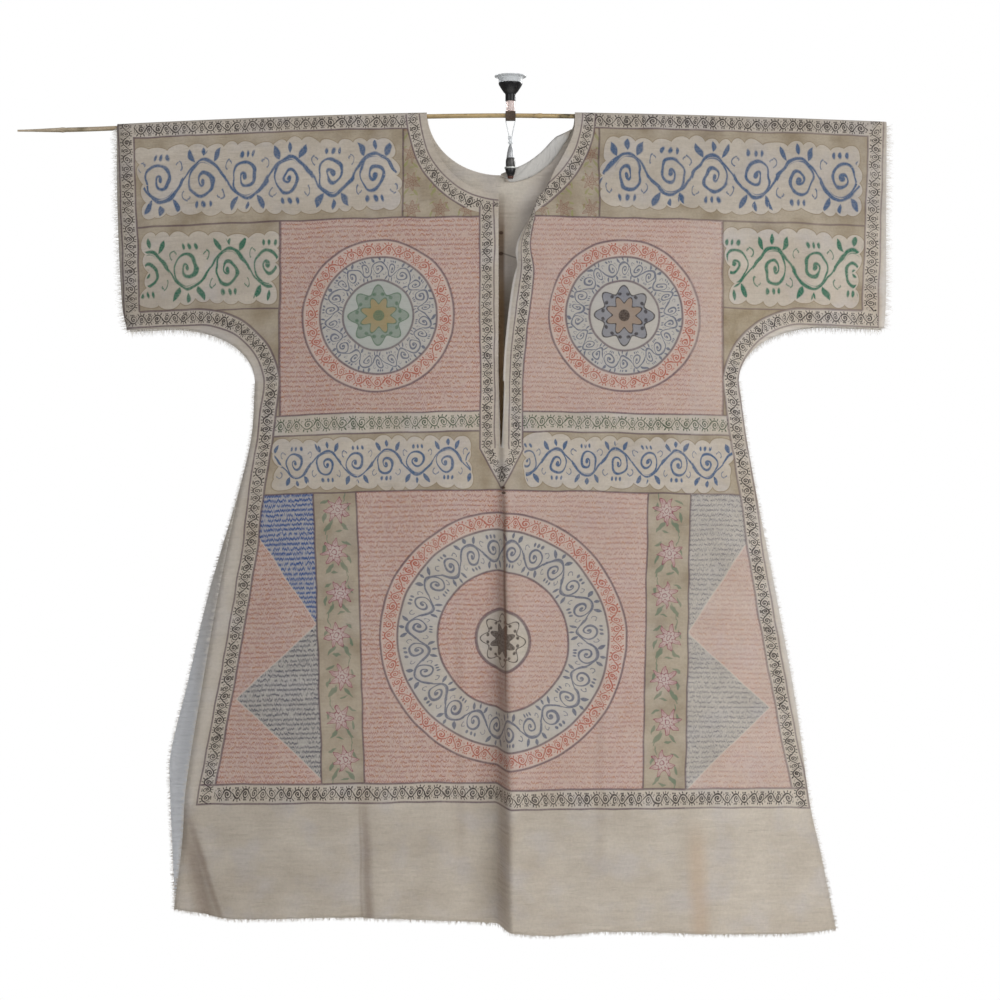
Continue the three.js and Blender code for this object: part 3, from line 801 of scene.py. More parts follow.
class Field:
    """A number that varies over a surface, with the arithmetic of plain numbers."""

    def __init__(self, graph: "Graph", socket: bpy.types.NodeSocket) -> None:
        """Wrap a node's output."""
        self.graph = graph
        self.socket = socket

    def __abs__(self) -> "Field":
        """Size without sign."""
        return self.graph.math("ABSOLUTE", self)

    __add__ = __radd__ = maths("ADD")
    __sub__, __rsub__ = maths("SUBTRACT"), maths("SUBTRACT", True)
    __mul__ = __rmul__ = maths("MULTIPLY")
    __truediv__, __rtruediv__ = maths("DIVIDE"), maths("DIVIDE", True)
    __mod__ = maths("FLOORED_MODULO")
    __gt__, __lt__ = maths("GREATER_THAN"), maths("LESS_THAN")
    # The overlap and the union of two masks.
    __and__, __or__ = maths("MULTIPLY"), maths("MAXIMUM")


class Graph:
    """A material's nodes, made by one method."""

    def __init__(self, name: str) -> None:
        """Start a material with nothing in it but its output."""
        self.material = bpy.data.materials.new(name)
        self.material.use_nodes = True
        self.tree = self.material.node_tree
        self.tree.nodes.clear()

    def node(
        self, kind: str, settings: dict | None = None, inputs: dict | None = None, output: int | str = 0
    ) -> Field:
        """Make a node.

        Args:
            kind: The node's type.
            settings: Its properties, set before its sockets.
            inputs: Values or links of its sockets, by name or number.
            output: The output to hand back.

        Returns:
            That output.
        """
        made = self.tree.nodes.new(kind)
        for name, value in (settings or {}).items():
            if name == "points":
                curve = made.mapping.curves[0].points
                curve[0].location, curve[1].location = value[0], value[-1]
                for place in value[1:-1]:
                    curve.new(*place)
                for stop in curve:
                    stop.handle_type = "VECTOR"
                made.mapping.update()
            else:
                setattr(made, name, value)
        for name, value in (inputs or {}).items():
            socket = made.inputs[name]
            if isinstance(value, Field):
                self.tree.links.new(value.socket, socket)
            elif isinstance(value, tuple) and socket.type == "RGBA":
                socket.default_value = (*value, 1)
            else:
                socket.default_value = value
        return Field(self, made.outputs[output]) if made.outputs else None

    def math(self, operation: str, *values: Number) -> Field:
        """A Math node on fields and numbers."""
        return self.node("ShaderNodeMath", {"operation": operation}, dict(enumerate(values)))

    def least(self, *values: Number) -> Field:
        """The smallest of some numbers."""
        return reduce(lambda low, value: self.math("MINIMUM", low, value), values)

    def most(self, *values: Number) -> Field:
        """The greatest of some numbers, or the union of some masks."""
        return reduce(lambda high, value: self.math("MAXIMUM", high, value), values)

    def split(self, vector: Field, parts: int = 2) -> tuple[Field, ...]:
        """The first parts of a vector."""
        outputs = self.node("ShaderNodeSeparateXYZ", None, {0: vector}).socket.node.outputs
        return tuple(Field(self, outputs[i]) for i in range(parts))

    def join(self, x: Number, y: Number, z: Number = 0.0) -> Field:
        """A vector from its parts."""
        return self.node("ShaderNodeCombineXYZ", None, {0: x, 1: y, 2: z})

    def smooth(self, value: Field, low: float, high: float) -> Field:
        """0 at low and 1 at high, or the other way round where low is the greater."""
        inputs = {"Value": value, "From Min": low, "From Max": high}
        return self.node("ShaderNodeMapRange", {"interpolation_type": "LINEAR", "clamp": True}, inputs)

    def inside(self, distance: Field, soft: float = 0.7) -> Field:
        """1 where a signed distance is negative, with a soft edge."""
        return self.smooth(distance, soft / 2, -soft / 2)

    def line(self, distance: Field, half: Number, soft: float = 0.7) -> Field:
        """A stroke of half a width on each side of where a distance is 0."""
        return self.inside(abs(distance) - half, soft)

    def hypot(self, x: Field, y: Field) -> Field:
        """Length of a vector of two parts."""
        return self.math("SQRT", self.math("MULTIPLY_ADD", x, x, y * y))

    def pick(self, mask: Number, off: Number, on: Number) -> Field:
        """One number where the mask is 0 and another where it is 1."""
        return self.node("ShaderNodeMix", {"data_type": "FLOAT"}, {0: mask, 2: off, 3: on})

    def choose(self, start: Number, *choices: tuple[Field, Number]) -> Field:
        """The last choice whose mask is 1, or the start."""
        return reduce(lambda value, choice: self.pick(choice[0], value, choice[1]), choices, start)

    def mix(self, mask: Number, under: Colour | Field, over: Colour | Field) -> Field:
        """One colour over another by a mask."""
        inputs = {0: mask, 6: under, 7: over}
        return self.node("ShaderNodeMix", {"data_type": "RGBA"}, inputs, output=2)

    def tone(self, colour: Field, strength: Field) -> Field:
        """A colour made darker or lighter by a number."""
        inputs = {0: 1.0, 6: colour, 7: self.join(strength, strength, strength)}
        return self.node("ShaderNodeMix", {"data_type": "RGBA", "blend_type": "MULTIPLY"}, inputs, output=2)

    def noise(self, place: Field, scale: float, detail: float = 1.0, output: int | str = 0) -> Field:
        """Soft noise about 0.5."""
        inputs = {"Vector": place, "Scale": scale, "Detail": detail}
        return self.node("ShaderNodeTexNoise", {"noise_dimensions": "2D"}, inputs, output)

    def grain(self, place: Field, scale: float, detail: float) -> Field:
        """Soft noise through the whole of a piece."""
        return self.node("ShaderNodeTexNoise", None, {"Vector": place, "Scale": scale, "Detail": detail})

    def drawn(self) -> Field:
        """The place in the drawn design, in metres."""
        return self.node("ShaderNodeUVMap", {"uv_map": "Drawn"})

    def here(self, kind: str = "Object") -> Field:
        """The place on the piece, or its Normal."""
        return self.node("ShaderNodeTexCoord", None, None, kind)

    def curve(self, points: Rows, at: Field) -> Field:
        """A number read from a curve's points."""
        return self.node("ShaderNodeFloatCurve", {"points": points}, {"Value": at})

    def finish(
        self, colour: Colour | Field, roughness: Number, bump: Field | None = None, **values: Number
    ) -> None:
        """End the material in a Principled shader.

        Args:
            colour: Base colour.
            roughness: Roughness.
            bump: Height in metres for the Bump node.
            values: Other sockets by name, with _ for a space.
        """
        inputs = {"Base Color": colour, "Roughness": roughness}
        inputs.update({name.replace("_", " "): value for name, value in values.items()})
        if bump is not None:
            bumped = {"Distance": 1.0, "Strength": 1.0, "Height": bump}
            inputs["Normal"] = self.node("ShaderNodeBump", None, bumped)
        shader = self.node("ShaderNodeBsdfPrincipled", None, inputs)
        self.node("ShaderNodeOutputMaterial", None, {0: shader})


def srgb(red: int, green: int, blue: int) -> Colour:
    """A colour in linear light from its usual 0 to 255 values."""
    parts = [value / 255 for value in (red, green, blue)]
    return tuple(part / 12.92 if part <= 0.04045 else ((part + 0.055) / 1.055) ** 2.4 for part in parts)


# ---------------------------------------------------------------- the cotton and its drawn design


@dataclass(frozen=True)
class Cotton:
    """Plain unbleached cotton, woven, stained and a little slubby."""

    name: str = "plain_cotton"
    light: Colour = srgb(206, 196, 183)
    dark: Colour = srgb(189, 178, 164)
    stain: Colour = srgb(176, 148, 118)
    cool: Colour = srgb(194, 190, 194)
    roughness: float = 0.92

    def cloth(self, graph: Graph, place: Field) -> tuple[Field, Field]:
        """The cotton's own colour and the height of its weave.

        Args:
            graph: The material's nodes.
            place: Drawn coordinates in metres.

        Returns:
            The colour, and the height in metres.
        """
        mottle = graph.noise(place, 21, 4)
        fine = graph.noise(place, 300, 2)
        x, y = graph.split(place)
        warp = graph.noise(graph.join(x * 9, y), 130, 1)
        weft = graph.noise(graph.join(x, y * 9), 130, 1)
        threads = warp * 0.5 + weft * 0.5
        crinkle = graph.noise(graph.join(x + mottle * 0.02, y * 6.5), 32, 4)
        tint = graph.noise(graph.join(x + 3, y), 24, 3)
        colour = graph.mix(graph.smooth(mottle, 0.25, 0.8), self.light, self.dark)
        colour = graph.mix(graph.smooth(tint, 0.48, 0.7) * 0.3, colour, self.cool)
        blotch = graph.smooth(graph.noise(place, 7.3, 3), 0.60, 0.78)
        colour = graph.mix(blotch * 0.16, colour, self.stain)
        colour = graph.tone(colour, 0.73 + threads * 0.2 + fine * 0.16 + crinkle * 0.18)
        return colour, threads * 0.00025 + fine * 0.00008 + crinkle * 0.002

    def material(self) -> bpy.types.Material:
        """The finished material."""
        graph = Graph(self.name)
        place = graph.drawn()
        colour, height = self.cloth(graph, place)
        graph.finish(colour, self.roughness, height, Sheen_Weight=0.12, Specular_IOR_Level=0.2)
        return graph.material


@dataclass(frozen=True)
class BackCotton(Cotton):
    """The back's outer face, paler where its neck edge is turned over to the front."""

    name: str = "back_cotton"
    bleach_and_light: Colour = srgb(226, 227, 226)

    def cloth(self, graph: Graph, place: Field) -> tuple[Field, Field]:
        """The back's colour and the height of its weave."""
        colour, height = super().cloth(graph, place)
        u, v = graph.split(place)
        neck = graph.hypot(u * (1000 / NECK_HALF), v * (1000 / BACK_NECK_DEPTH))
        turned = graph.smooth(neck, 0.96, 0.86) & (u > 0)
        return graph.mix(turned * 0.62, colour, self.bleach_and_light), height


@dataclass(frozen=True)
class InnerCotton(Cotton):
    """The faces between the panels: painted shade behind the slit, painted light at the side margins."""

    name: str = "inner_cotton"
    light: Colour = srgb(218, 210, 198)
    dark: Colour = srgb(198, 188, 174)
    stain: Colour = srgb(180, 164, 144)
    bleach_and_light: Colour = srgb(240, 243, 249)
    painted_shade: Colour = srgb(158, 138, 118)
    shadow: Colour = srgb(112, 86, 60)
    deep: Colour = srgb(250, 206, 154)
    fade_and_light: Colour = srgb(232, 221, 212)
    stitch: Colour = srgb(70, 50, 40)

    def cloth(self, graph: Graph, place: Field) -> tuple[Field, Field]:
        """The inner faces' colour and the height of their weave."""
        colour, height = super().cloth(graph, place)
        u, v = (part * 1000 for part in graph.split(place))
        # Painted light: the side margins of the inner faces, in shade behind the front, made bluish white.
        lit_margin = graph.smooth(abs(u), 325, 375) & graph.smooth(v, 420, 620)
        colour = graph.mix(lit_margin * 0.9, colour, self.bleach_and_light)
        # Painted shade on the inner faces behind the neck and the slit.
        behind = graph.smooth(abs(u - 14), 70, 14) & graph.smooth(v, 96, 160) & graph.smooth(v, 470, 420)
        # Painted light along the flap's edge, where the flap casts its shadow, with the painted shade held
        # off there.
        lit_beside_flap = graph.smooth(abs(u - 90 + v * 0.4), 30, 8)
        lit_beside_flap = lit_beside_flap & graph.smooth(v, 24, 60) & graph.smooth(v, 230, 190)
        colour = graph.mix(behind * 0.6 * (1 - lit_beside_flap), colour, self.painted_shade)
        colour = graph.mix(lit_beside_flap * 0.5, colour, self.fade_and_light)
        # Painted shade in the slit's gap: dark brown at its top, light tan lower down.
        slit_shade = graph.smooth(abs(u), 5.5, 2.5) & graph.smooth(v, 96, 150) & graph.smooth(v, 412, 396)
        shade = graph.mix(graph.smooth(v, 190, 290), self.shadow, self.deep)
        colour = graph.mix(slit_shade * 0.75, colour, shade)
        for at_v in (146, 171):
            tack = graph.smooth(graph.hypot(u * 0.8, v - at_v), 2.8, 1.6)
            colour = graph.mix(tack * 0.8, colour, self.stitch)
        thread = graph.smooth(abs(v - 170 - u * 0.33), 1.2, 0.5) & (u > 1) & (u < 26)
        return graph.mix(thread * 0.45, colour, self.stitch), height


@dataclass(frozen=True)
class Inks:
    """The inks and washes of the drawn design, and its tones of painted light and shade."""

    rule: Colour = srgb(88, 68, 80)
    black: Colour = srgb(44, 37, 38)
    red: Colour = srgb(176, 92, 72)
    fine_red: Colour = srgb(144, 76, 82)
    rust: Colour = srgb(172, 112, 78)
    blue: Colour = srgb(56, 90, 130)
    violet: Colour = srgb(44, 80, 142)
    fine_blue: Colour = srgb(62, 64, 84)
    slate: Colour = srgb(72, 84, 112)
    green: Colour = srgb(14, 104, 80)
    verse: Colour = srgb(70, 86, 64)
    olive: Colour = srgb(172, 156, 130)
    olive_dark: Colour = srgb(128, 110, 78)
    pink_wash: Colour = srgb(212, 181, 171)
    slate_wash: Colour = srgb(188, 188, 186)
    petal: Colour = srgb(212, 196, 194)
    petal_rim: Colour = srgb(190, 146, 152)
    petal_edge: Colour = srgb(138, 60, 82)
    bloom: Colour = srgb(132, 80, 66)
    leaf: Colour = srgb(96, 122, 100)
    lime: Colour = srgb(150, 152, 96)
    bleach_and_light: Colour = srgb(228, 223, 218)
    painted_shade: Colour = srgb(108, 80, 65)
    scorch: Colour = srgb(196, 158, 120)
    stitch: Colour = srgb(66, 46, 36)
    gold: Colour = srgb(178, 148, 94)
    sky: Colour = srgb(168, 184, 184)
    tan: Colour = srgb(170, 142, 112)


@dataclass(frozen=True)
class DrawnCotton(Cotton):
    """The front's outer face: ruled bands, cartouches, fine rows, roundels and flower strips in ink."""

    name: str = "drawn_cotton"
    inks: Inks = Inks()
    shoulder_band: float = 21.0
    sleeve_inner: float = 440.0
    sleeve_taper: float = 0.032
    band: float = 18.5
    neck_half: float = 98.0
    neck_depth: float = 110.0
    neck_mean: float = 106.0
    neck_share: float = 0.16
    slit_inner: float = 8.4
    slit_outer: float = 25.5
    slit_foot: tuple[float, float] = (407.0, 456.0)
    corner_line: float = 117.6
    upper_foot: float = 129.0
    chest_outer: float = 265.0
    green_foot: float = 233.0
    chest_foot: float = 362.0
    verse_foot: float = 386.0
    lower_top: float = 456.0
    lower_foot: float = 808.0
    border_foot: float = 831.0
    strip: tuple[float, float] = (175.0, 226.0)
    fillet: float = 100.0
    sleeve_foot: float = 231.0
    side_line: Rows = (
        (0, 0.262), (0.316, 0.264), (0.39, 0.274), (0.457, 0.285), (0.509, 0.293), (0.6, 0.310),
        (0.705, 0.331), (0.808, 0.353), (1, 0.388),
    )
    zigzag: Rows = (
        (0, 0.4), (0.45, 0.4), (0.505, 0.294), (0.614, 0.226), (0.703, 0.325), (0.802, 0.226), (1, 0.1),
    )
    # Cartouches: middle a and v, half width and height, and the scroll's size along and across.
    lower_box: tuple[float, ...] = (155.0, 421.5, 113.0, 19.0, 18.0, 22.0)
    green_box: tuple[float, ...] = (349.5, 183.0, 69.0, 32.0, 24.0, 33.0)
    upper_box: tuple[float, ...] = (278.5, 75.5, 144.0, 32.0, 25.6, 34.0)
    chest_ring: tuple[float, ...] = (147.0, 246.0, 90.5, 70.0, 41.7)
    great_ring: tuple[float, ...] = (635.0, 152.0, 131.0, 83.0, 37.0)
    row_pitch: float = 5.9
    flower_pitch: float = 50.3
    # Painted light across the cloth from left to right: darker on the left, lighter on the right.
    side_light: Rows = (
        (0, 0.22), (0.12, 0.22), (0.27, 0.30), (0.40, 0.44), (0.455, 0.6), (0.52, 0.56), (0.60, 0.5),
        (0.70, 0.62), (0.78, 0.76), (0.96, 0.78),
    )
    # Strokes of painted shade along the creases: both ends, half width and strength.
    shaded_creases: tuple[tuple, ...] = (
        ((4, 436, 6, 640), 5.0, 0.5), ((0, 500, 0, 1060), 25.0, 0.36), ((3, 440, 7, 700), 2.8, 0.5),
        ((-177, 795, -171, 1060), 8.5, 0.36), ((-182, 800, -182, 1060), 2.2, 0.22),
        ((-394, 826, -354, 1040), 17.0, 0.38), ((-388, 838, -345, 985), 5.0, 0.3),
        ((-58, 560, -62, 900), 9.0, 0.12), ((120, 600, 126, 900), 9.0, 0.1),
    )
    scorched: tuple = ((238, 838, 246, 985), 16.0, 0.3)
    stitches: Rows = ((1.5, 453.0), (2.5, 459.0))

    def scroll(self, g: Graph, x: Field, y: Field, weight: Number) -> Field:
        """A running scroll of volutes, leaves and buds.

        Args:
            g: The material's nodes.
            x: Place along the scroll, where a volute takes 2 units.
            y: Place across it, from about -1.1 to 1.1.
            weight: Stroke width, where 1 is a bold one.

        Returns:
            The ink's mask.
        """
        cell = g.math("FLOOR", x / 2)
        lx = x - cell * 2 - 1
        ly = y * (1 - 2 * (cell % 2))
        ax = abs(lx)
        stem = (ly - 0.72 * g.math("COSINE", lx * (math.pi / 2))) * (1 - 0.34 * ax)
        vx, vy = lx - 0.06, ly + 0.06
        r = g.hypot(vx, vy)
        turn = g.math("ARCTAN2", vy, vx) / math.tau
        coil = abs(((0.62 - r) / 0.40 + turn + 0.5) % 1 - 0.5) * 0.40
        coil = coil + (r > 0.69)
        stroke = g.least(abs(stem), coil) - weight * (0.05 + 0.045 * abs(turn * 2))
        bud = r - 0.06 - weight * 0.06
        lean_x, lean_y = ax - 0.62, ly - 0.88
        leaf_p = (lean_x * 0.53 + lean_y * 0.85) / 0.30
        leaf_q = (lean_y * 0.53 - lean_x * 0.85) / 0.13
        leaf = (abs(leaf_q) + leaf_p * leaf_p - 1) * 0.12
        drop = g.hypot(ax - 0.30 * (ax > 0.15), (ly + 0.86) * 0.7) - 0.04 - weight * 0.05
        crown = (ax / 0.11 + g.math("POWER", (ly - 1.04) / 0.2, 2.0) - 1) * 0.1
        curl_x, curl_y = ax - 0.8, ly + 0.52
        curl_r = g.hypot(curl_x, curl_y)
        curl = abs(curl_r - 0.13 - 0.05 * (curl_x > 0)) - weight * 0.028 + (curl_y - curl_x > 0.09)
        return g.inside(g.least(stroke, bud, leaf, drop, crown, curl), 0.05)

    def cloud(self, g: Graph, dx: Field, dy: Field, hx: Number, hy: Number) -> Field:
        """Signed distance to a box with scalloped edges.

        Args:
            g: The material's nodes.
            dx: Place across, from the middle.
            dy: Place down, from the middle.
            hx: Half the width.
            hy: Half the height.

        Returns:
            The distance, negative inside.
        """
        lobe, pitch = 12.5, 20.0
        px, py = abs(dx), abs(dy)
        near_x = px - g.least(g.math("FLOOR", px / pitch) * pitch + pitch / 2, hx)
        near_y = py - g.least(g.math("FLOOR", py / pitch) * pitch + pitch / 2, hy)
        lobes = g.least(g.hypot(near_x, py - hy), g.hypot(px - hx, near_y)) - lobe
        return g.least(lobes, g.most(px - hx, py - hy))

    def along(self, g: Graph, u: Field, v: Field, line: Sequence[float], width: float) -> Field:
        """A soft stroke along a line, faded towards both ends.

        Args:
            g: The material's nodes.
            u: Place across the cloth.
            v: Place down the cloth.
            line: Both ends, as u, v, u, v.
            width: Half its width.

        Returns:
            Its mask.
        """
        u0, v0, u1, v1 = line
        length = math.hypot(u1 - u0, v1 - v0)
        way_u, way_v = (u1 - u0) / length, (v1 - v0) / length
        run = (u - u0) * way_u + (v - v0) * way_v
        off = (u - u0) * way_v - (v - v0) * way_u
        ends = g.smooth(run, 0, length * 0.3) & g.smooth(run, length + 20, length * 0.9)
        return g.smooth(abs(off), width, width * 0.2) & ends

    def flower(self, g: Graph, x: Field, y: Field, spin: Number) -> tuple[Field, Field, Field]:
        """A flower with leaves, in a cell 50 mm high.

        Args:
            g: The material's nodes.
            x: Place across the cell.
            y: Place down the cell.
            spin: Turn of its petals, in radians.

        Returns:
            Masks of the petals, of their outlines and of the leaves.
        """
        fx, fy = x + 2.5, y + 4
        r = g.hypot(fx, fy)
        turn = g.math("ARCTAN2", fy, fx) * 3.5 + spin
        petal = r - 16.5 * (1 - 0.52 * g.math("POWER", abs(g.math("SINE", turn)), 1.3))
        inner = r - 9.5 * (1 - 0.45 * g.math("POWER", abs(g.math("COSINE", turn)), 1.3))
        vein = g.line(g.math("SINE", turn) * r, 0.5) & (r < 14) & (r > 9)
        edge = g.most(g.line(petal, 0.75), g.line(inner, 0.55), g.line(r - 2.6, 0.5), vein)
        edge = edge & g.inside(petal - 0.8)
        leaves = g.line(x - 12 * g.math("SINE", y * (math.pi / 50)), 0.6) & (r > 12)
        for cx, cy, tilt, length, width in (
            (9, 14.5, 0.9, 8.5, 2.4), (-9, 15, 2.3, 8, 2.3), (14, 4, 1.3, 6.5, 1.9), (-15, -8, 1.9, 6, 1.7),
            (12, -15, 0.5, 6, 1.6), (-3, 20, 0.2, 5, 1.3),
        ):
            ex, ey = x - cx, y - cy
            along = (ex * math.cos(tilt) + ey * math.sin(tilt)) / length
            side = (ey * math.cos(tilt) - ex * math.sin(tilt)) / width
            leaves = leaves | g.inside((abs(side) + along * along - 1) * width)
        return g.inside(petal), edge, leaves

    def material(self) -> bpy.types.Material:
        """The finished material."""
        g, ink = Graph(self.name), self.inks
        place = g.drawn()
        colour, height = self.cloth(g, place)
        plain_u, plain_v = g.split(place)
        wander_u, wander_v = g.split(g.noise(place, 22, 1, "Color"))
        u = plain_u * 1000 + (wander_u - 0.5) * 3.0
        v = plain_v * 1000 + (wander_v - 0.5) * 3.0
        a, right = abs(u), u > 0
        # Painted light and shade: darker on the left, lighter on the right, a little darker at the top right
        # and below the lower border.
        side_light = g.curve(self.side_light, u / 1000 + 0.5) - 0.5
        light_tone = 1 + side_light * g.smooth(v, 60, 230) * 0.4 - g.smooth(v, 135, 110) * (u > 110) * 0.05
        light_tone = light_tone - g.smooth(v, 810, 850) * 0.05

        # Frames: the underarm and side line, the sleeve's end line, the neck band and the rings.
        side = g.curve(self.side_line, v / 1000) * 1000
        gone_v = g.most(self.fillet - (v - self.sleeve_foot), 0.0)
        gone_a = g.most(self.fillet - (a - side), 0.0)
        armed = self.fillet - g.hypot(gone_v, gone_a)
        side_run = self.fillet * g.math("ARCTAN2", gone_a, gone_v)
        side_run = side_run + g.most(v - self.sleeve_foot - self.fillet, 0.0)
        side_run = side_run - g.most(a - side - self.fillet, 0.0)
        low_side = g.pick(v > self.sleeve_foot + self.fillet, armed, a - side)
        sleeve = a - self.sleeve_inner + v * self.sleeve_taper
        neck = g.hypot(u / self.neck_half, v / self.neck_depth)
        neck_angle = g.math("ARCTAN2", u, v)
        cx, cy, chest_r, chest_mid, chest_in = self.chest_ring
        rx, ry = a - cx, v - cy
        chest = g.hypot(rx, ry)
        chest_angle = g.math("ARCTAN2", ry, rx)
        great_v, great_r, great_mid, great_in, great_disc = self.great_ring
        great = g.hypot(u, v - great_v)
        great_angle = g.math("ARCTAN2", v - great_v, u)

        # Regions.
        neck_rim, neck_foot = 1 + self.neck_share, self.neck_depth + 8
        above_band = low_side < self.band
        ground = (low_side < 0) & (sleeve < 0) & (v > self.shoulder_band)
        ground = ground & (v < self.lower_foot) & (neck > neck_rim)
        foot_top, foot_low = self.slit_foot
        slit_half = g.smooth(v, foot_low, foot_top) * self.slit_outer
        past_slit = a > slit_half
        in_neck = (neck > 1) & (neck < neck_rim) & (v < neck_foot)
        in_slit = (a < slit_half) & (v > neck_foot)
        in_sleeve = (sleeve > 0) & (sleeve < self.band) & above_band
        in_side = (low_side > 0) & above_band & (v < self.border_foot) & (sleeve < self.band)
        in_hem = (v > self.lower_foot) & (v < self.border_foot) & above_band
        in_top = (v < self.shoulder_band) & (sleeve < 0) & (neck > neck_rim)
        in_chest = (chest < chest_r) & (v < self.chest_foot)
        in_great = great < great_r
        in_disc = great < great_disc

        upper = ground & (v < self.upper_foot) & (a > self.corner_line)
        corner = ground & (v < self.upper_foot) & (a < self.corner_line) & past_slit
        breast = ground & (v > self.upper_foot) & (v < self.chest_foot)
        wing = breast & (a > self.chest_outer)
        green = wing & (v < self.green_foot)
        spandrel = wing & (v > self.green_foot)
        rows_chest = breast & (a < self.chest_outer) & past_slit
        verse = ground & (v > self.chest_foot) & (v < self.verse_foot) & past_slit
        lower = ground & (v > self.verse_foot) & (v < self.lower_top) & past_slit
        skirt = ground & (v > self.lower_top)
        strip_in, strip_out = self.strip
        strip = skirt & (a > strip_in) & (a < strip_out)
        rows_skirt = skirt & (1 - strip)
        cartouche = upper | green | lower

        # Scalloped reserves of the cartouches.
        loose_u, loose_v = g.split(g.noise(place, 17, 0, "Color"))
        middle_x, middle_y, half_x, half_y, size_x, size_y = (
            g.choose(low, (green, mid), (upper, top))
            for low, mid, top in zip(self.lower_box, self.green_box, self.upper_box)
        )
        dx, dy = a - middle_x, v - middle_y
        cloud = self.cloud(g, dx + (loose_u - 0.5) * 22, dy + (loose_v - 0.5) * 14, half_x, half_y)

        # One scroll, laid along each band and ring and through each cartouche at its own size.
        bands = 5.2
        chest_red, great_red = in_chest & (chest > chest_mid), in_great & (great > great_mid)
        ring_red = chest_red | great_red
        ring_wide = in_great & (great < great_mid) & (great > great_in)
        ring_mid = in_chest & (chest < chest_mid) & (chest > chest_in)
        along = g.choose(
            dx / size_x,
            (in_top | in_hem, u / bands), (in_sleeve, v / bands), (in_side, side_run / bands),
            (in_neck, neck_angle * (110 / bands)), (in_slit, v / bands), (verse, u / 5.4),
            (chest_red, chest_angle * (42 / math.pi)), (ring_mid, chest_angle * (22 / math.pi)),
            (great_red, great_angle * (76 / math.pi)), (ring_wide, great_angle * (24 / math.pi)),
        )
        across = g.choose(
            dy / size_y,
            (in_top, (v - 12) / 6.6), (in_hem, (v - 819.5) / 7.6),
            (in_sleeve, (sleeve - self.band / 2) / 6.4), (in_side, (low_side - self.band / 2) / 6.4),
            (in_neck, (neck - 1.08) * (self.neck_mean / 5.8)), (in_slit, (a - slit_half + 8.5) / 5.6),
            (verse, (v - 374) / 7.2), (chest_red, (chest - 80) / 6.6), (ring_mid, (chest - 56) / 11.5),
            (great_red, (great - 141.5) / 7.0), (ring_wide, (great - 107) / 18.5),
        )
        press = 0.45 + g.noise(place, 70, 1) * 1.1
        slate_ring = ring_wide | ring_mid
        weight = g.choose(1.5, (ring_red, 1.3), (slate_ring, 1.0), (cartouche, 0.84)) * press
        weight = weight * g.pick(verse | (in_sleeve & right), 1.0, 0.84)
        sway = (g.noise(place, 60, 0) - 0.5) * g.pick(cartouche | ring_wide, 1.1, 0.25)
        scroll = self.scroll(g, along + sway, across, weight)
        scrolled = g.most(in_top, in_hem, in_sleeve, in_side, in_neck, in_slit, verse, ring_red, slate_ring)
        scroll = scroll & (scrolled | (g.inside(cloud + 2.5) & cartouche))

        # Rows of fine strokes, red or blue.
        rows = rows_chest | rows_skirt
        row = v / self.row_pitch + (g.noise(place, 12, 0) - 0.5) * 0.35
        number = g.math("FLOOR", row)
        fine_wave = g.noise(g.join(u / 1.25, number * 7.3), 1.0, 1) - 0.5
        dash = g.noise(g.join(u / 3.4, number * 3.7 + 50), 1.0, 0)
        fade_and_light = g.noise(g.join(u / 6, row * 1.7), 1.0, 1)
        stroke = abs(row - number - 0.5 - fine_wave * 1.2)
        marks = abs(row - number - 0.5 - (dash - 0.5) * 2.2) + g.smooth(fine_wave, -0.02, 0.06) * 0.5
        strokes = g.smooth(stroke, 0.21, 0.07) * g.smooth(dash, 0.27, 0.36)
        strokes = (strokes | (g.smooth(marks, 0.15, 0.05) * 0.8)) * (0.35 + fade_and_light * 1.1)
        ticks = g.smooth(g.noise(g.join(u / 0.9, row * 2.2 + 90), 1.0, 0), 0.42, 0.62)
        ruled = g.smooth(abs(row - number - 0.5), 0.5, 0.15)
        strokes = g.most(strokes, ticks * 0.34, ruled * 0.16)
        zig = g.curve(self.zigzag, (v - right * 8) / 1000) * 1000 - a
        rows_outer = rows_skirt & (a > strip_out)
        blue_rows = rows_outer & (zig > 0)
        zig_gap = g.line(zig, 1.4) & rows_outer
        rosette = (in_chest & (chest < chest_in)) | in_disc
        covered = g.most(in_chest, in_great & (great > great_in), in_disc, zig_gap)
        strokes = strokes & rows & (1 - covered)

        # Washes under the ink.
        wash = g.noise(place, 30, 3)
        fleck = g.smooth(g.noise(place, 420, 1), 0.25, 0.8)
        # Inks and washes thinned at the outer right, as painted light.
        pale = g.pick(right & (a > strip_out), 1.0, 0.74)
        pink = rows & (1 - blue_rows) & (1 - slate_ring) & (1 - rosette) & pale
        colour = g.mix(pink * (0.4 + wash * 0.3), colour, ink.pink_wash)
        slate = (blue_rows * g.pick(right, 0.5, 0.3) | ring_mid * 0.5) + ring_wide * 0.3
        colour = g.mix(slate, colour, ink.slate_wash)
        left_top = blue_rows & (1 - right) & (v < 610)
        colour = g.mix(left_top * 0.12, colour, ink.violet)
        olive = (cartouche & (1 - g.inside(cloud))) | corner | spandrel | strip
        olive_tone = g.mix(g.smooth(wash, 0.3, 0.85), ink.olive, ink.olive_dark)
        olive_tone = g.tone(olive_tone, 0.88 + fleck * 0.2)
        full = g.pick(strip, g.pick(spandrel & right, 1.0, 1.3), 0.9)
        colour = g.mix(olive * (0.42 + wash * 0.4) * full, colour, olive_tone)
        colour = g.mix((g.line(cloud, 0.45) & cartouche) * 0.6, colour, ink.olive_dark)

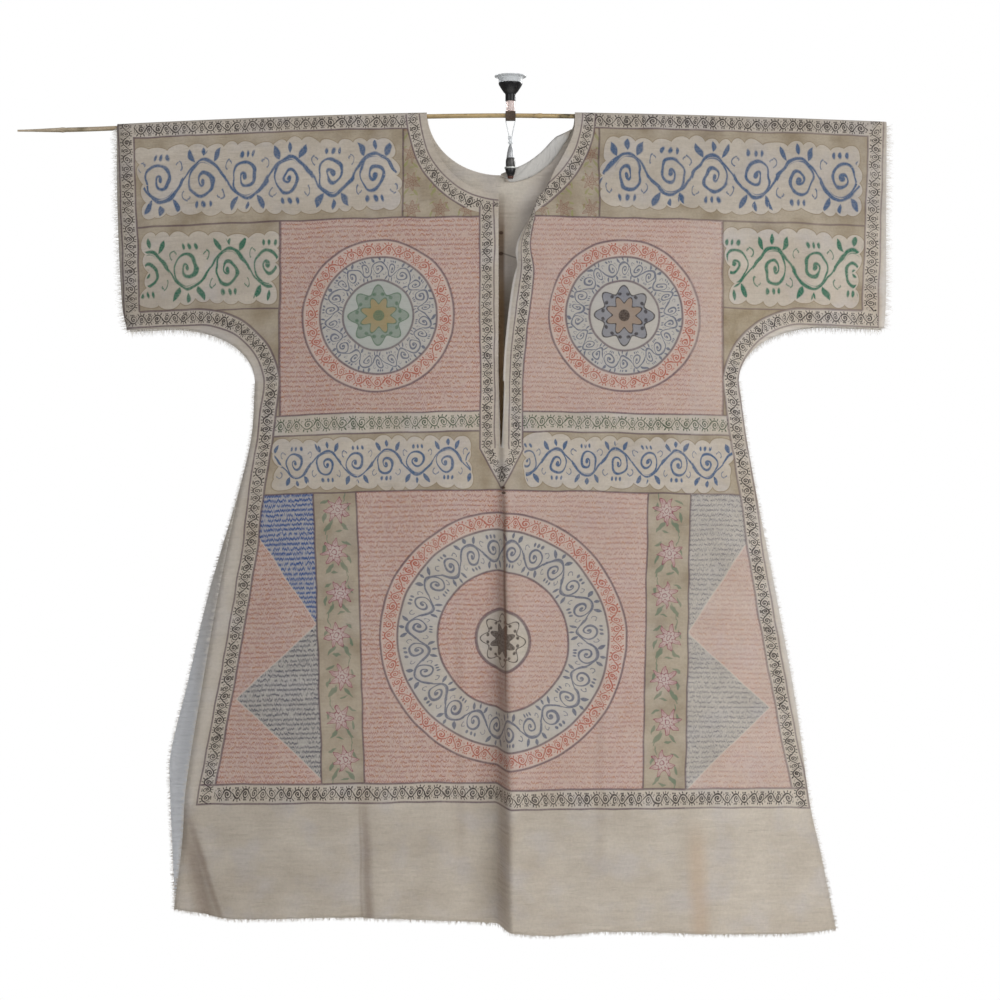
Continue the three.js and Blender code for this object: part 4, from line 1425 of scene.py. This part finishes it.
        # Flowers in the strips, and smaller ones in the corners beside the neck.
        tall = (v - self.lower_top) / self.flower_pitch
        cell = g.math("FLOOR", tall)
        flip = 1 - 2 * (cell % 2)
        small_u, small_v = (a * 1.5 + 12) % 50 - 25, (v * 1.5 - 8) % 50 - 25
        flower_x = g.pick(corner, (a - (strip_in + strip_out) / 2) * flip, small_u)
        flower_y = g.pick(corner, (tall - cell - 0.5) * self.flower_pitch, small_v)
        shake_x, shake_y = g.split(g.noise(place, 110, 1, "Color"))
        flower_x, flower_y = flower_x + (shake_x - 0.5) * 5, flower_y + (shake_y - 0.5) * 5
        petals, petal_edge, leaves = self.flower(g, flower_x, flower_y, cell * 1.9 + right * 0.8)
        flowered = strip | corner
        rim = g.smooth(g.hypot(flower_x + 2.5, flower_y + 4), 4, 14)
        colour = g.mix((leaves & flowered) * (0.35 + wash * 0.6), colour, g.mix(strip, ink.lime, ink.leaf))
        colour = g.mix((petals & corner) * 0.18, colour, ink.bloom)
        colour = g.mix((petals & strip) * (0.34 + wash * 0.5), colour, g.mix(rim, ink.petal, ink.petal_rim))
        lined = (petal_edge & flowered) * g.pick(strip, 0.75, 0.85) * (0.6 + fleck * 0.6)
        colour = g.mix(lined, colour, g.mix(strip, ink.bloom, ink.petal_edge))

        # Rosettes in the three roundels.
        petal_angle = g.pick(in_disc, chest_angle, great_angle)
        radius = g.pick(in_disc, chest / chest_in, great / great_disc)
        lobes = g.math("COSINE", petal_angle * 8)
        outer_edge = (radius - 0.74 - lobes * 0.12) * 40
        inner_edge = (radius - 0.44 + lobes * 0.10) * 40
        outer_petal, inner_petal = g.inside(outer_edge), g.inside(inner_edge)
        heart = g.inside((radius - 0.16) * 40)
        stud = g.hypot((petal_angle * (8 / math.pi)) % 1 - 0.5, (radius - 0.62) * 5)
        studs = g.inside((stud - 0.24) * 6)
        plain_left = g.mix(right, ink.sky, ink.slate_wash)
        colour = g.mix((rosette & (1 - in_disc)) * 0.5, colour, plain_left)
        petal_tone = g.mix(in_disc, g.mix(right, ink.leaf, ink.slate), ink.olive_dark)
        centre_tone = g.mix(in_disc, g.mix(right, ink.gold, ink.tan), ink.olive)
        painted = 0.55 + wash * 0.7 + fleck * 0.1
        colour = g.mix((outer_petal & rosette) * g.pick(in_disc, 0.55, 0.08) * painted, colour, petal_tone)
        colour = g.mix((inner_petal & rosette) * g.pick(in_disc, 0.6, 0.08) * painted, colour, centre_tone)
        dark = g.most(g.line(outer_edge, 0.9), g.line(inner_edge, 0.9), heart, studs, in_disc & inner_petal)
        dark = dark & rosette
        colour = g.mix(dark * (0.6 + fleck * 0.3), colour, g.mix(right | in_disc, ink.leaf, ink.black))

        # Inks.
        red_tone = g.mix(g.smooth(fade_and_light, 0.4, 0.7), ink.fine_red, ink.rust)
        # Red ink weaker on the right half, and thinned further at the outer right as painted light.
        pale_side = g.pick(right, 1.0, 0.76) * pale
        colour = g.mix((strokes & (1 - blue_rows)) * (0.6 + wash * 0.35) * pale_side, colour, red_tone)
        blue_tone = g.mix(left_top, ink.fine_blue, ink.violet)
        colour = g.mix((strokes & blue_rows) * g.pick(right, 0.78, 0.58), colour, blue_tone)
        heavy = g.smooth(stroke, 0.36, 0.17) * g.smooth(dash, 0.2, 0.32) * (0.45 + fade_and_light * 0.75)
        colour = g.mix((heavy & blue_rows & (1 - right)) * g.pick(left_top, 0.26, 0.74), colour, blue_tone)
        worn = 0.62 + fleck * 0.2 + wash * 0.25
        band_ink = g.mix(ring_red, g.mix(verse, ink.black, ink.verse), ink.red)
        for mask, tone in ((slate_ring, ink.slate), (upper | lower, ink.blue), (green, ink.green)):
            band_ink = g.mix(mask, band_ink, tone)
        colour = g.mix(scroll * worn * g.pick(slate_ring, 1.0, 0.87), colour, band_ink)

        # Ruled lines.
        in_body, in_arm = low_side < 0, sleeve < 0
        levels = g.least(*(abs(v - level) for level in (self.chest_foot, self.verse_foot, self.lower_top)))
        neck_lines = g.line((neck - 1) * self.neck_mean, 0.9, 1.0)
        neck_lines = neck_lines | g.line((neck - neck_rim) * self.neck_mean, 1.1, 1.0)
        chest_lines = g.least(*(abs(chest - ring) for ring in (chest_r, chest_mid, chest_in)))
        chest_lines = chest_lines + (1 - (v < self.chest_foot)) * 50
        great_lines = g.least(*(abs(great - ring) for ring in (great_r, great_mid, great_in, great_disc)))
        rules = g.most(
            g.line(low_side, 1.3, 1.1) & (v < self.lower_foot + 1) & in_arm,
            g.line(low_side - self.band, 1.0, 1.0) & (v < self.border_foot + 1) & (sleeve < self.band + 1),
            g.line(sleeve, 1.1, 1.0) & in_body & (v > self.shoulder_band - 1),
            g.line(sleeve - self.band, 0.9, 1.0) & above_band,
            g.line(v - self.shoulder_band, 1.0, 1.0) & in_arm & (neck > neck_rim),
            g.line(v - self.upper_foot, 1.1, 1.0) & in_arm & past_slit,
            g.line(a - self.corner_line, 1.1, 1.0) & (upper | corner),
            g.line(a - self.chest_outer, 1.5, 1.2) & (v > self.upper_foot) & (v < self.chest_foot) & in_body,
            g.line(v - self.green_foot, 0.9, 1.0) & wing,
            g.line(levels, 1.0, 1.0) & in_body & past_slit,
            g.line(v - self.lower_foot, 1.2, 1.0) & above_band,
            g.line(v - self.border_foot, 1.1, 1.0) & above_band,
            g.line(abs(a - (strip_in + strip_out) / 2) - (strip_out - strip_in) / 2, 1.1, 1.0) & skirt,
            g.line(a - slit_half, 1.1, 1.0) & (v > neck_foot) & (v < foot_low),
            g.line(a - self.slit_inner, 0.8, 1.0) & (v > self.neck_depth) & (v < foot_top),
            neck_lines & (v < neck_foot) & (v > 4),
            g.line(g.least(chest_lines, great_lines), 1.25, 1.2),
            g.line(great - great_disc, 1.9, 1.2),
        )
        colour = g.mix(rules * (0.5 + fleck * 0.15 + wash * 0.25) * pale, colour, ink.rule)

        # Painted light on margins and slit edges, painted shade in creases, a scorch and two stitches.
        lit_margin = g.smooth(g.most(low_side, sleeve) - self.band, 1.0, 6.0) & (v < self.border_foot)
        lit_slit_edges = g.smooth(a, 3.4, 1.6) & (v > self.neck_depth - 6) & (v < SLIT_BOTTOM)
        colour = g.mix(lit_margin * g.pick(right, 0.2, 0.55) + lit_slit_edges * 0.7, colour, ink.bleach_and_light)
        for line, width, depth in self.shaded_creases:
            colour = g.mix(self.along(g, u, v, line, width) * depth, colour, ink.painted_shade)
        line, width, depth = self.scorched
        colour = g.mix(self.along(g, u, v, line, width) * depth, colour, ink.scorch)
        for at_u, at_v in self.stitches:
            tack = g.inside(g.hypot((u - at_u) * 0.6, v - at_v) - 1.6)
            colour = g.mix(tack * 0.85, colour, ink.stitch)

        # Painted light and shade across the cloth.
        colour = g.tone(colour, light_tone)
        g.finish(colour, self.roughness, height, Sheen_Weight=0.10, Specular_IOR_Level=0.2)
        return g.material


# ---------------------------------------------------------------- plain finishes


@dataclass(frozen=True)
class Thread:
    """Loose cotton ends."""

    name: str = "loose_cotton"
    light: Colour = srgb(200, 189, 174)
    dark: Colour = srgb(152, 140, 125)
    bleach_and_light: Colour = srgb(240, 236, 230)

    def material(self) -> bpy.types.Material:
        """The finished material."""
        graph = Graph(self.name)
        place = graph.here()
        height = graph.split(place, 3)[2]
        colour = graph.mix(graph.grain(place, 160.0, 2.0), self.light, self.dark)
        colour = graph.mix(graph.smooth(height, -0.97, -0.88) * 0.8, colour, self.bleach_and_light)
        graph.finish(colour, 0.95, None, Specular_IOR_Level=0.2)
        return graph.material


@dataclass(frozen=True)
class Bamboo:
    """Split bamboo: golden and olive lengths, fine fibres along it and painted shade underneath."""

    name: str = "bamboo"
    golden: Colour = srgb(220, 192, 140)
    olive: Colour = srgb(118, 108, 76)
    brown: Colour = srgb(112, 82, 54)
    spot: Colour = srgb(62, 56, 38)
    pale: Colour = srgb(232, 222, 208)

    def material(self) -> bpy.types.Material:
        """The finished material."""
        graph = Graph(self.name)
        x, y, z = graph.split(graph.here(), 3)
        fibre = graph.grain(graph.join(x * 14, y * 900, z * 900), 1.0, 3.0)
        length = graph.grain(graph.join(x, 0.0, 0.0), 22.0, 2.0)
        spots = graph.grain(graph.join(x * 120, y * 260, z * 260), 1.0, 2.0)
        under = graph.split(graph.here("Normal"), 3)[2]
        colour = graph.mix(graph.smooth(x, -0.40, -0.50) * 0.6, self.golden, self.pale)
        colour = graph.mix(graph.smooth(length, 0.54, 0.64) * 0.85, colour, self.olive)
        worn = graph.smooth(abs(x - 0.056), 0.05, 0.02)
        # Painted shade: olive darkening on the rod's underside, where its surface faces down.
        colour = graph.mix(graph.smooth(under, 0.0, -0.6) * (0.25 + fibre * 0.6), colour, self.olive)
        colour = graph.mix(graph.smooth(spots, 0.5, 0.62) * (worn * 0.6 + 0.2), colour, self.spot)
        colour = graph.mix(graph.smooth(fibre, 0.40, 0.75) * 0.55, colour, self.brown)
        graph.finish(colour, 0.42 + fibre * 0.2, fibre * 0.0003, Coat_Weight=0.15, Coat_Roughness=0.3)
        return graph.material


@dataclass(frozen=True)
class Hard:
    """A moulded or turned finish with faint scuffs."""

    name: str
    base: Colour
    scuffed: Colour
    roughness: float
    metallic: float = 0.0
    transmission: float = 0.0

    def material(self) -> bpy.types.Material:
        """The finished material."""
        graph = Graph(self.name)
        scuff = graph.grain(graph.here(), 420.0, 3.0)
        colour = graph.mix(graph.smooth(scuff, 0.45, 0.8) * 0.6, self.base, self.scuffed)
        graph.finish(
            colour, self.roughness + scuff * 0.12, scuff * 0.00008,
            Metallic=self.metallic, Transmission_Weight=self.transmission,
        )
        return graph.material


CLEAR = Hard("clear_plastic", srgb(238, 241, 243), srgb(222, 225, 227), 0.3, transmission=0.4)
LINE = Hard("clear_line", srgb(240, 243, 245), srgb(218, 222, 225), 0.35, transmission=0.35)
ROSY = Hard("clear_stem", srgb(238, 222, 218), srgb(220, 198, 192), 0.25, transmission=0.5)
BLACK = Hard("black_plastic", srgb(26, 26, 28), srgb(56, 54, 54), 0.22)
BROWN = Hard("brown_clip", srgb(72, 54, 40), srgb(112, 92, 70), 0.4)
STEEL = Hard("grey_metal", srgb(196, 198, 200), srgb(140, 141, 142), 0.32, metallic=0.35)
BRIGHT = Hard("bright_ring", srgb(216, 218, 214), srgb(170, 170, 168), 0.3, metallic=0.3)
DARK_METAL = Hard("dark_metal", srgb(84, 83, 82), srgb(124, 120, 114), 0.34, metallic=0.3)
TIP = Hard("brown_tip", srgb(86, 46, 36), srgb(120, 76, 58), 0.4)


# ---------------------------------------------------------------- the rod


@dataclass
class BambooRod:
    """The rod through the shoulders, with its joints and its worn left tip."""

    radius: float = 3.0
    left: float = -580.0
    right: float = 443.0
    sides: int = 24
    cuts: tuple[int, ...] = (100, 3)
    joints: tuple[float, ...] = (-526.0, -300.0, -96.0, 47.0, 250.0, 418.0)
    joint_rise: float = 0.45
    joint_width: float = 3.0
    groove_at: float = 4.0
    groove_width: float = 1.8
    groove_depth: float = 0.2
    thinned: float = 0.25
    tip_length: float = 60.0
    tip_loss: float = 0.55

    def width_at(self, x: float) -> float:
        """Radius at a place along the rod."""
        swell = sum(math.exp(-(((x - at) / self.joint_width) ** 2)) for at in self.joints)
        groove = sum(
            math.exp(-(((x - at - self.groove_at) / self.groove_width) ** 2)) for at in self.joints
        )
        tip = 1 - self.tip_loss * (1 - smoothstep(x, self.left, self.left + self.tip_length))
        thick = self.radius - self.thinned + self.joint_rise * swell - self.groove_depth * groove
        return thick * tip

    def build(self) -> bpy.types.Object:
        """Make the rod: a cylinder cut into short lengths, then bowed and given its joints."""
        thing = added(
            bpy.ops.mesh.primitive_cylinder_add, vertices=self.sides, radius=self.radius * MM,
            depth=(self.right - self.left) * MM, location=(0, 0, 0), rotation=(0, math.pi / 2, 0),
        )
        bpy.ops.object.mode_set(mode="EDIT")
        bpy.ops.mesh.select_mode(type="EDGE")
        for cuts in self.cuts:
            bpy.ops.mesh.select_all(action="DESELECT")
            bpy.ops.object.mode_set(mode="OBJECT")
            vertices = thing.data.vertices
            for edge in thing.data.edges:
                low, high = (vertices[i].co.x for i in edge.vertices)
                edge.select = abs(high - low) > MM
            bpy.ops.object.mode_set(mode="EDIT")
            bpy.ops.mesh.subdivide(number_cuts=cuts)
        bpy.ops.mesh.select_mode(type="VERT")
        bpy.ops.object.mode_set(mode="OBJECT")
        middle = (self.left + self.right) / 2
        for vertex in thing.data.vertices:
            x = vertex.co.x / MM + middle
            share = self.width_at(x) / self.radius
            y, z = vertex.co.y / MM * share, vertex.co.z / MM * share
            vertex.co = (SHIRT_AT + Vector((x, y, -WRAP - bow(x) + z))) * MM
        thing.data.materials.append(Bamboo().material())
        smooth_shaded(thing, 50)
        return as_piece(thing, "bamboo_rod", "bamboo", ("rod",))


# ---------------------------------------------------------------- the fitting and the weight


@dataclass
class Fitting:
    """The turned pieces above and below the rod, the clip on it and the clear line."""

    sides: int = 40
    round_over: float = 0.25
    profiles: dict[str, tuple] = field(
        default_factory=lambda: {
            "hanger_disc": (
                CLEAR, "clear_plastic", ((19, 0), (19, -1.2), (15, -1.6), (14.2, -3), (14, -8.4)),
            ),
            "hanger_cone": (
                BLACK, "black_plastic",
                (
                    (14.4, -8.7), (14.3, -9.6), (13.8, -11), (11.4, -15), (8.6, -19.2), (6.8, -21),
                    (6.2, -22.4), (6.2, -30),
                ),
            ),
            "hanger_stem": (
                ROSY, "clear_plastic", ((5.4, -30.3), (5.3, -34), (5.6, -35), (5.3, -36), (5.2, -42.4)),
            ),
            "plumb_top": (STEEL, "steel", ((1, -81.9), (1.8, -84), (2.7, -86), (4, -92), (4.9, -98.4))),
            "plumb_body": (DARK_METAL, "black_plastic", ((5, -98.7), (5.6, -101), (5.8, -104), (5.6, -109))),
            "plumb_ring": (BRIGHT, "steel", ((7.2, -109.3), (7.3, -110.3), (7.2, -111.3))),
            "plumb_point": (BLACK, "black_plastic", ((6.6, -111.6), (5.2, -117), (3.7, -120))),
            "plumb_tip": (TIP, "brown_plastic", ((3.6, -120.3), (3.5, -121.8), (3.2, -123.1))),
        }
    )
    clip_size: tuple[float, float, float] = (12.6, 10.0, 10.8)
    clip_middle: float = -48.1
    clip_round: float = 0.7
    panel_inset: float = 1.6
    panel_depth: float = 0.6
    line_radius: float = 0.6
    line_sides: int = 10
    line_top: float = -53.8
    line_spread: float = 5.6
    line_meet: float = 1.6
    sleeve_radius: float = 2.8
    sleeve_sides: int = 20
    sleeve_round: float = 0.5
    sleeve_top: float = -72.0
    sleeve_foot: float = -81.6

    def turned(self, node: str) -> bpy.types.Object:
        """Turn one piece: a disc drawn down its profile by extruding and scaling."""
        finish, slot, profile = self.profiles[node]
        radius, height = profile[0]
        thing = added(
            bpy.ops.mesh.primitive_circle_add, vertices=self.sides, radius=radius * MM,
            location=(0, 0, height * MM), fill_type="NGON",
        )
        bpy.ops.object.mode_set(mode="EDIT")
        bpy.ops.mesh.select_all(action="SELECT")
        for low_radius, low_height in profile[1:]:
            bpy.ops.mesh.extrude_region_move(
                TRANSFORM_OT_translate={"value": (0, 0, (low_height - height) * MM)}
            )
            share = low_radius / radius
            bpy.ops.transform.resize(value=(share, share, 1), center_override=(0, 0, low_height * MM))
            radius, height = low_radius, low_height
        close_outwards()
        self.rounded(thing, self.round_over)
        thing.data.materials.append(finish.material())
        return as_piece(thing, f"{node}_turned", slot, (node,))

    def rounded(self, thing: bpy.types.Object, radius: float) -> None:
        """Round the sharp edges of a piece and shade it."""
        only(thing)
        bevel = thing.modifiers.new("round", "BEVEL")
        bevel.width = radius * MM
        bevel.segments = 2
        bevel.limit_method = "ANGLE"
        bevel.angle_limit = math.radians(40)
        bpy.ops.object.modifier_apply(modifier="round")
        smooth_shaded(thing, 35)

    def clip(self) -> bpy.types.Object:
        """The clip on the rod: a rounded block with a sunk panel front and back."""
        thing = added(
            bpy.ops.mesh.primitive_cube_add, size=MM, location=(0, 0, self.clip_middle * MM),
            scale=self.clip_size,
        )
        bpy.ops.object.mode_set(mode="EDIT")
        bpy.ops.mesh.select_all(action="DESELECT")
        bpy.ops.object.mode_set(mode="OBJECT")
        for face in thing.data.polygons:
            face.select = abs(face.normal.y) > 0.9
        bpy.ops.object.mode_set(mode="EDIT")
        bpy.ops.mesh.select_mode(type="FACE")
        bpy.ops.mesh.inset(
            thickness=self.panel_inset * MM, depth=-self.panel_depth * MM, use_individual=True
        )
        bpy.ops.object.mode_set(mode="OBJECT")
        self.rounded(thing, self.clip_round)
        thing.data.materials.append(BROWN.material())
        return as_piece(thing, "clip_block", "brown_plastic", ("rod_clip",))

    def bar(self, start: Vector, end: Vector, radius: float, sides: int) -> bpy.types.Object:
        """A straight round bar between two points."""
        way = end - start
        return added(
            bpy.ops.mesh.primitive_cylinder_add, vertices=sides, radius=radius * MM, depth=way.length * MM,
            location=(start + end) / 2 * MM, rotation=way.to_track_quat("Z", "X").to_euler(),
        )

    def line(self) -> bpy.types.Object:
        """The clear line: two strands that meet in a sleeve above the weight."""
        top, joint = self.line_top, self.sleeve_top
        strands = [
            (Vector((side * self.line_spread, 0, top)), Vector((side * self.line_meet, 0, joint - 1)))
            for side in (-1, 1)
        ]
        bars = [self.bar(*ends, self.line_radius, self.line_sides) for ends in strands]
        sleeve = self.bar(
            Vector((0, 0, joint)), Vector((0, 0, self.sleeve_foot)), self.sleeve_radius, self.sleeve_sides
        )
        self.rounded(sleeve, self.sleeve_round)
        bars.append(sleeve)
        bpy.ops.object.select_all(action="DESELECT")
        for bar in bars:
            bar.select_set(True)
        bpy.context.view_layer.objects.active = bars[0]
        bpy.ops.object.join()
        thing = bpy.context.object
        thing.data.materials.append(LINE.material())
        smooth_shaded(thing, 35)
        return as_piece(thing, "clear_line", "clear_plastic", ("line_yoke",))

    def build(self) -> list[bpy.types.Object]:
        """Make all the pieces of the fitting."""
        return [self.turned(node) for node in self.profiles] + [self.clip(), self.line()]


# ---------------------------------------------------------------- the whole shirt and its studio


@dataclass
class Shirt:
    """The hung shirt: both panels and their raw edges."""

    front: Panel = field(
        default_factory=lambda: Panel(
            Face.FRONT, SLIT_BOTTOM, FRONT_NECK_DEPTH, FRONT_SIDES, FRONT_HEM, FRONT_TURNING
        )
    )
    back: Panel = field(
        default_factory=lambda: Panel(
            Face.BACK, BACK_NECK_DEPTH, BACK_NECK_DEPTH, BACK_SIDES, BACK_HEM, BACK_TURNING,
            inner_columns=18, outer_columns=28, sleeve_columns=20, row_height=7.5,
        )
    )

    def build(self, rod: bpy.types.Object) -> None:
        """Make the cloth and its threads, and log each sheet's area."""
        drawn, plain, inside, loose = (
            finish().material() for finish in (DrawnCotton, BackCotton, InnerCotton, Thread)
        )
        chance = random.Random(SEED)
        for panel, outer in ((self.front, drawn), (self.back, plain)):
            sheet, area = panel.build(outer, inside)
            frays = [
                Fray(panel, Edge.HEM, 1, 0.32, 1.5, 5.5, 0.5),
                Fray(panel, Edge.NECK, -1, 1.6, 0.6, 2.2, 0.3),
            ]
            for side in (-1, 1):
                frays.append(Fray(panel, Edge.SLEEVE, side, 0.55, shortest=3.5, longest=9.5))
                frays.append(Fray(panel, Edge.UNDERARM, side, 0.6, shortest=3, longest=8.5))
                frays.append(Fray(panel, Edge.SIDE, side, 0.36, 1.5, 5.5, 0.46))
            threads = [fray.build(loose, chance) for fray in frays]
            rod.name
            LOG.info("%s: %.3f square metres of cloth", sheet.name, area)


@dataclass
class Studio:
    """Pale floor, soft light and the camera."""

    distance: float = 2.6
    camera_x: float = -0.0126
    camera_z: float = -0.5088
    view_width: float = 1.2
    sensor: float = 36.0
    floor_z: float = -1.35
    floor_radius: float = 1.0
    floor_depth: float = 0.02
    lit_from_round: float = 0.18
    aimed_at: tuple[float, float, float] = (0.0, 0.0, -0.55)

    def build(self) -> None:
        """Make the studio."""
        scene = bpy.context.scene
        scene.view_settings.view_transform = "Standard"
        self.camera()
        self.floor()
        self.sky()
        self.lamp("key", (1.35, -1.65, 0.2), 1.6, 26)
        self.lamp("fill", (-1.3, -1.8, -0.1), 1.0, 5)
        self.lamp("front", (-0.5, -3.1, 0.1), 1.8, 8)
        self.lamp("behind", (2.0, 1.6, 0.5), 1.2, 62)

    def camera(self) -> None:
        """The camera, level and square to the shirt."""
        data = bpy.data.cameras.new("camera")
        data.sensor_width = self.sensor
        data.lens = self.sensor * self.distance / self.view_width
        thing = linked("camera", data)
        thing.location = (self.camera_x, -self.distance, self.camera_z)
        thing.rotation_euler = (math.pi / 2, 0, 0)
        bpy.context.scene.camera = thing

    def floor(self) -> None:
        """A plain pale round floor, below the view, glowing as painted light that brightens towards its rim.
        """
        thing = added(
            bpy.ops.mesh.primitive_cylinder_add, vertices=96, radius=self.floor_radius,
            depth=self.floor_depth, location=(0, 0, self.floor_z - self.floor_depth / 2),
        )
        thing.name = "floor"
        graph = Graph("pale_floor")
        out = graph.hypot(*graph.split(graph.here()))
        # Painted light: the floor's glow, dim in the middle and brighter towards its rim.
        glow_rise = graph.smooth(out, self.floor_radius * 0.25, self.floor_radius)
        shade = graph.mix(glow_rise, srgb(128, 127, 125), srgb(208, 208, 207))
        graph.finish(srgb(236, 234, 230), 0.9, None, Emission_Color=shade, Emission_Strength=1.0)
        thing.data.materials.append(graph.material)

    def sky(self) -> None:
        """White behind the shirt, and a softer light from all round."""
        world = bpy.data.worlds.new("studio")
        bpy.context.scene.world = world
        world.use_nodes = True
        nodes, links = world.node_tree.nodes, world.node_tree.links
        nodes.clear()
        seen, either = nodes.new("ShaderNodeLightPath"), nodes.new("ShaderNodeMath")
        either.operation = "MAXIMUM"
        links.new(seen.outputs["Is Camera Ray"], either.inputs[0])
        links.new(seen.outputs["Is Transmission Ray"], either.inputs[1])
        mix, end = nodes.new("ShaderNodeMixShader"), nodes.new("ShaderNodeOutputWorld")
        links.new(either.outputs[0], mix.inputs[0])
        for socket, strength in ((1, self.lit_from_round), (2, 1.0)):
            light = nodes.new("ShaderNodeBackground")
            light.inputs["Color"].default_value = (1, 1, 1, 1)
            light.inputs["Strength"].default_value = strength
            links.new(light.outputs[0], mix.inputs[socket])
        links.new(mix.outputs[0], end.inputs[0])

    def lamp(self, name: str, place: tuple[float, float, float], size: float, power: float) -> None:
        """A soft square light that looks at the shirt."""
        data = bpy.data.lights.new(name, "AREA")
        data.size = size
        data.energy = power
        thing = linked(name, data)
        thing.location = place
        thing.visible_camera = False
        way = Vector(self.aimed_at) - Vector(place)
        thing.rotation_euler = way.to_track_quat("-Z", "Y").to_euler()


def main() -> None:
    """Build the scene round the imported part."""
    logging.basicConfig(level=logging.INFO, format="%(name)s: %(message)s")
    Studio().build()
    rod = BambooRod().build()
    Shirt().build(rod)
    Fitting().build()


if __name__ == "__main__":
    main()
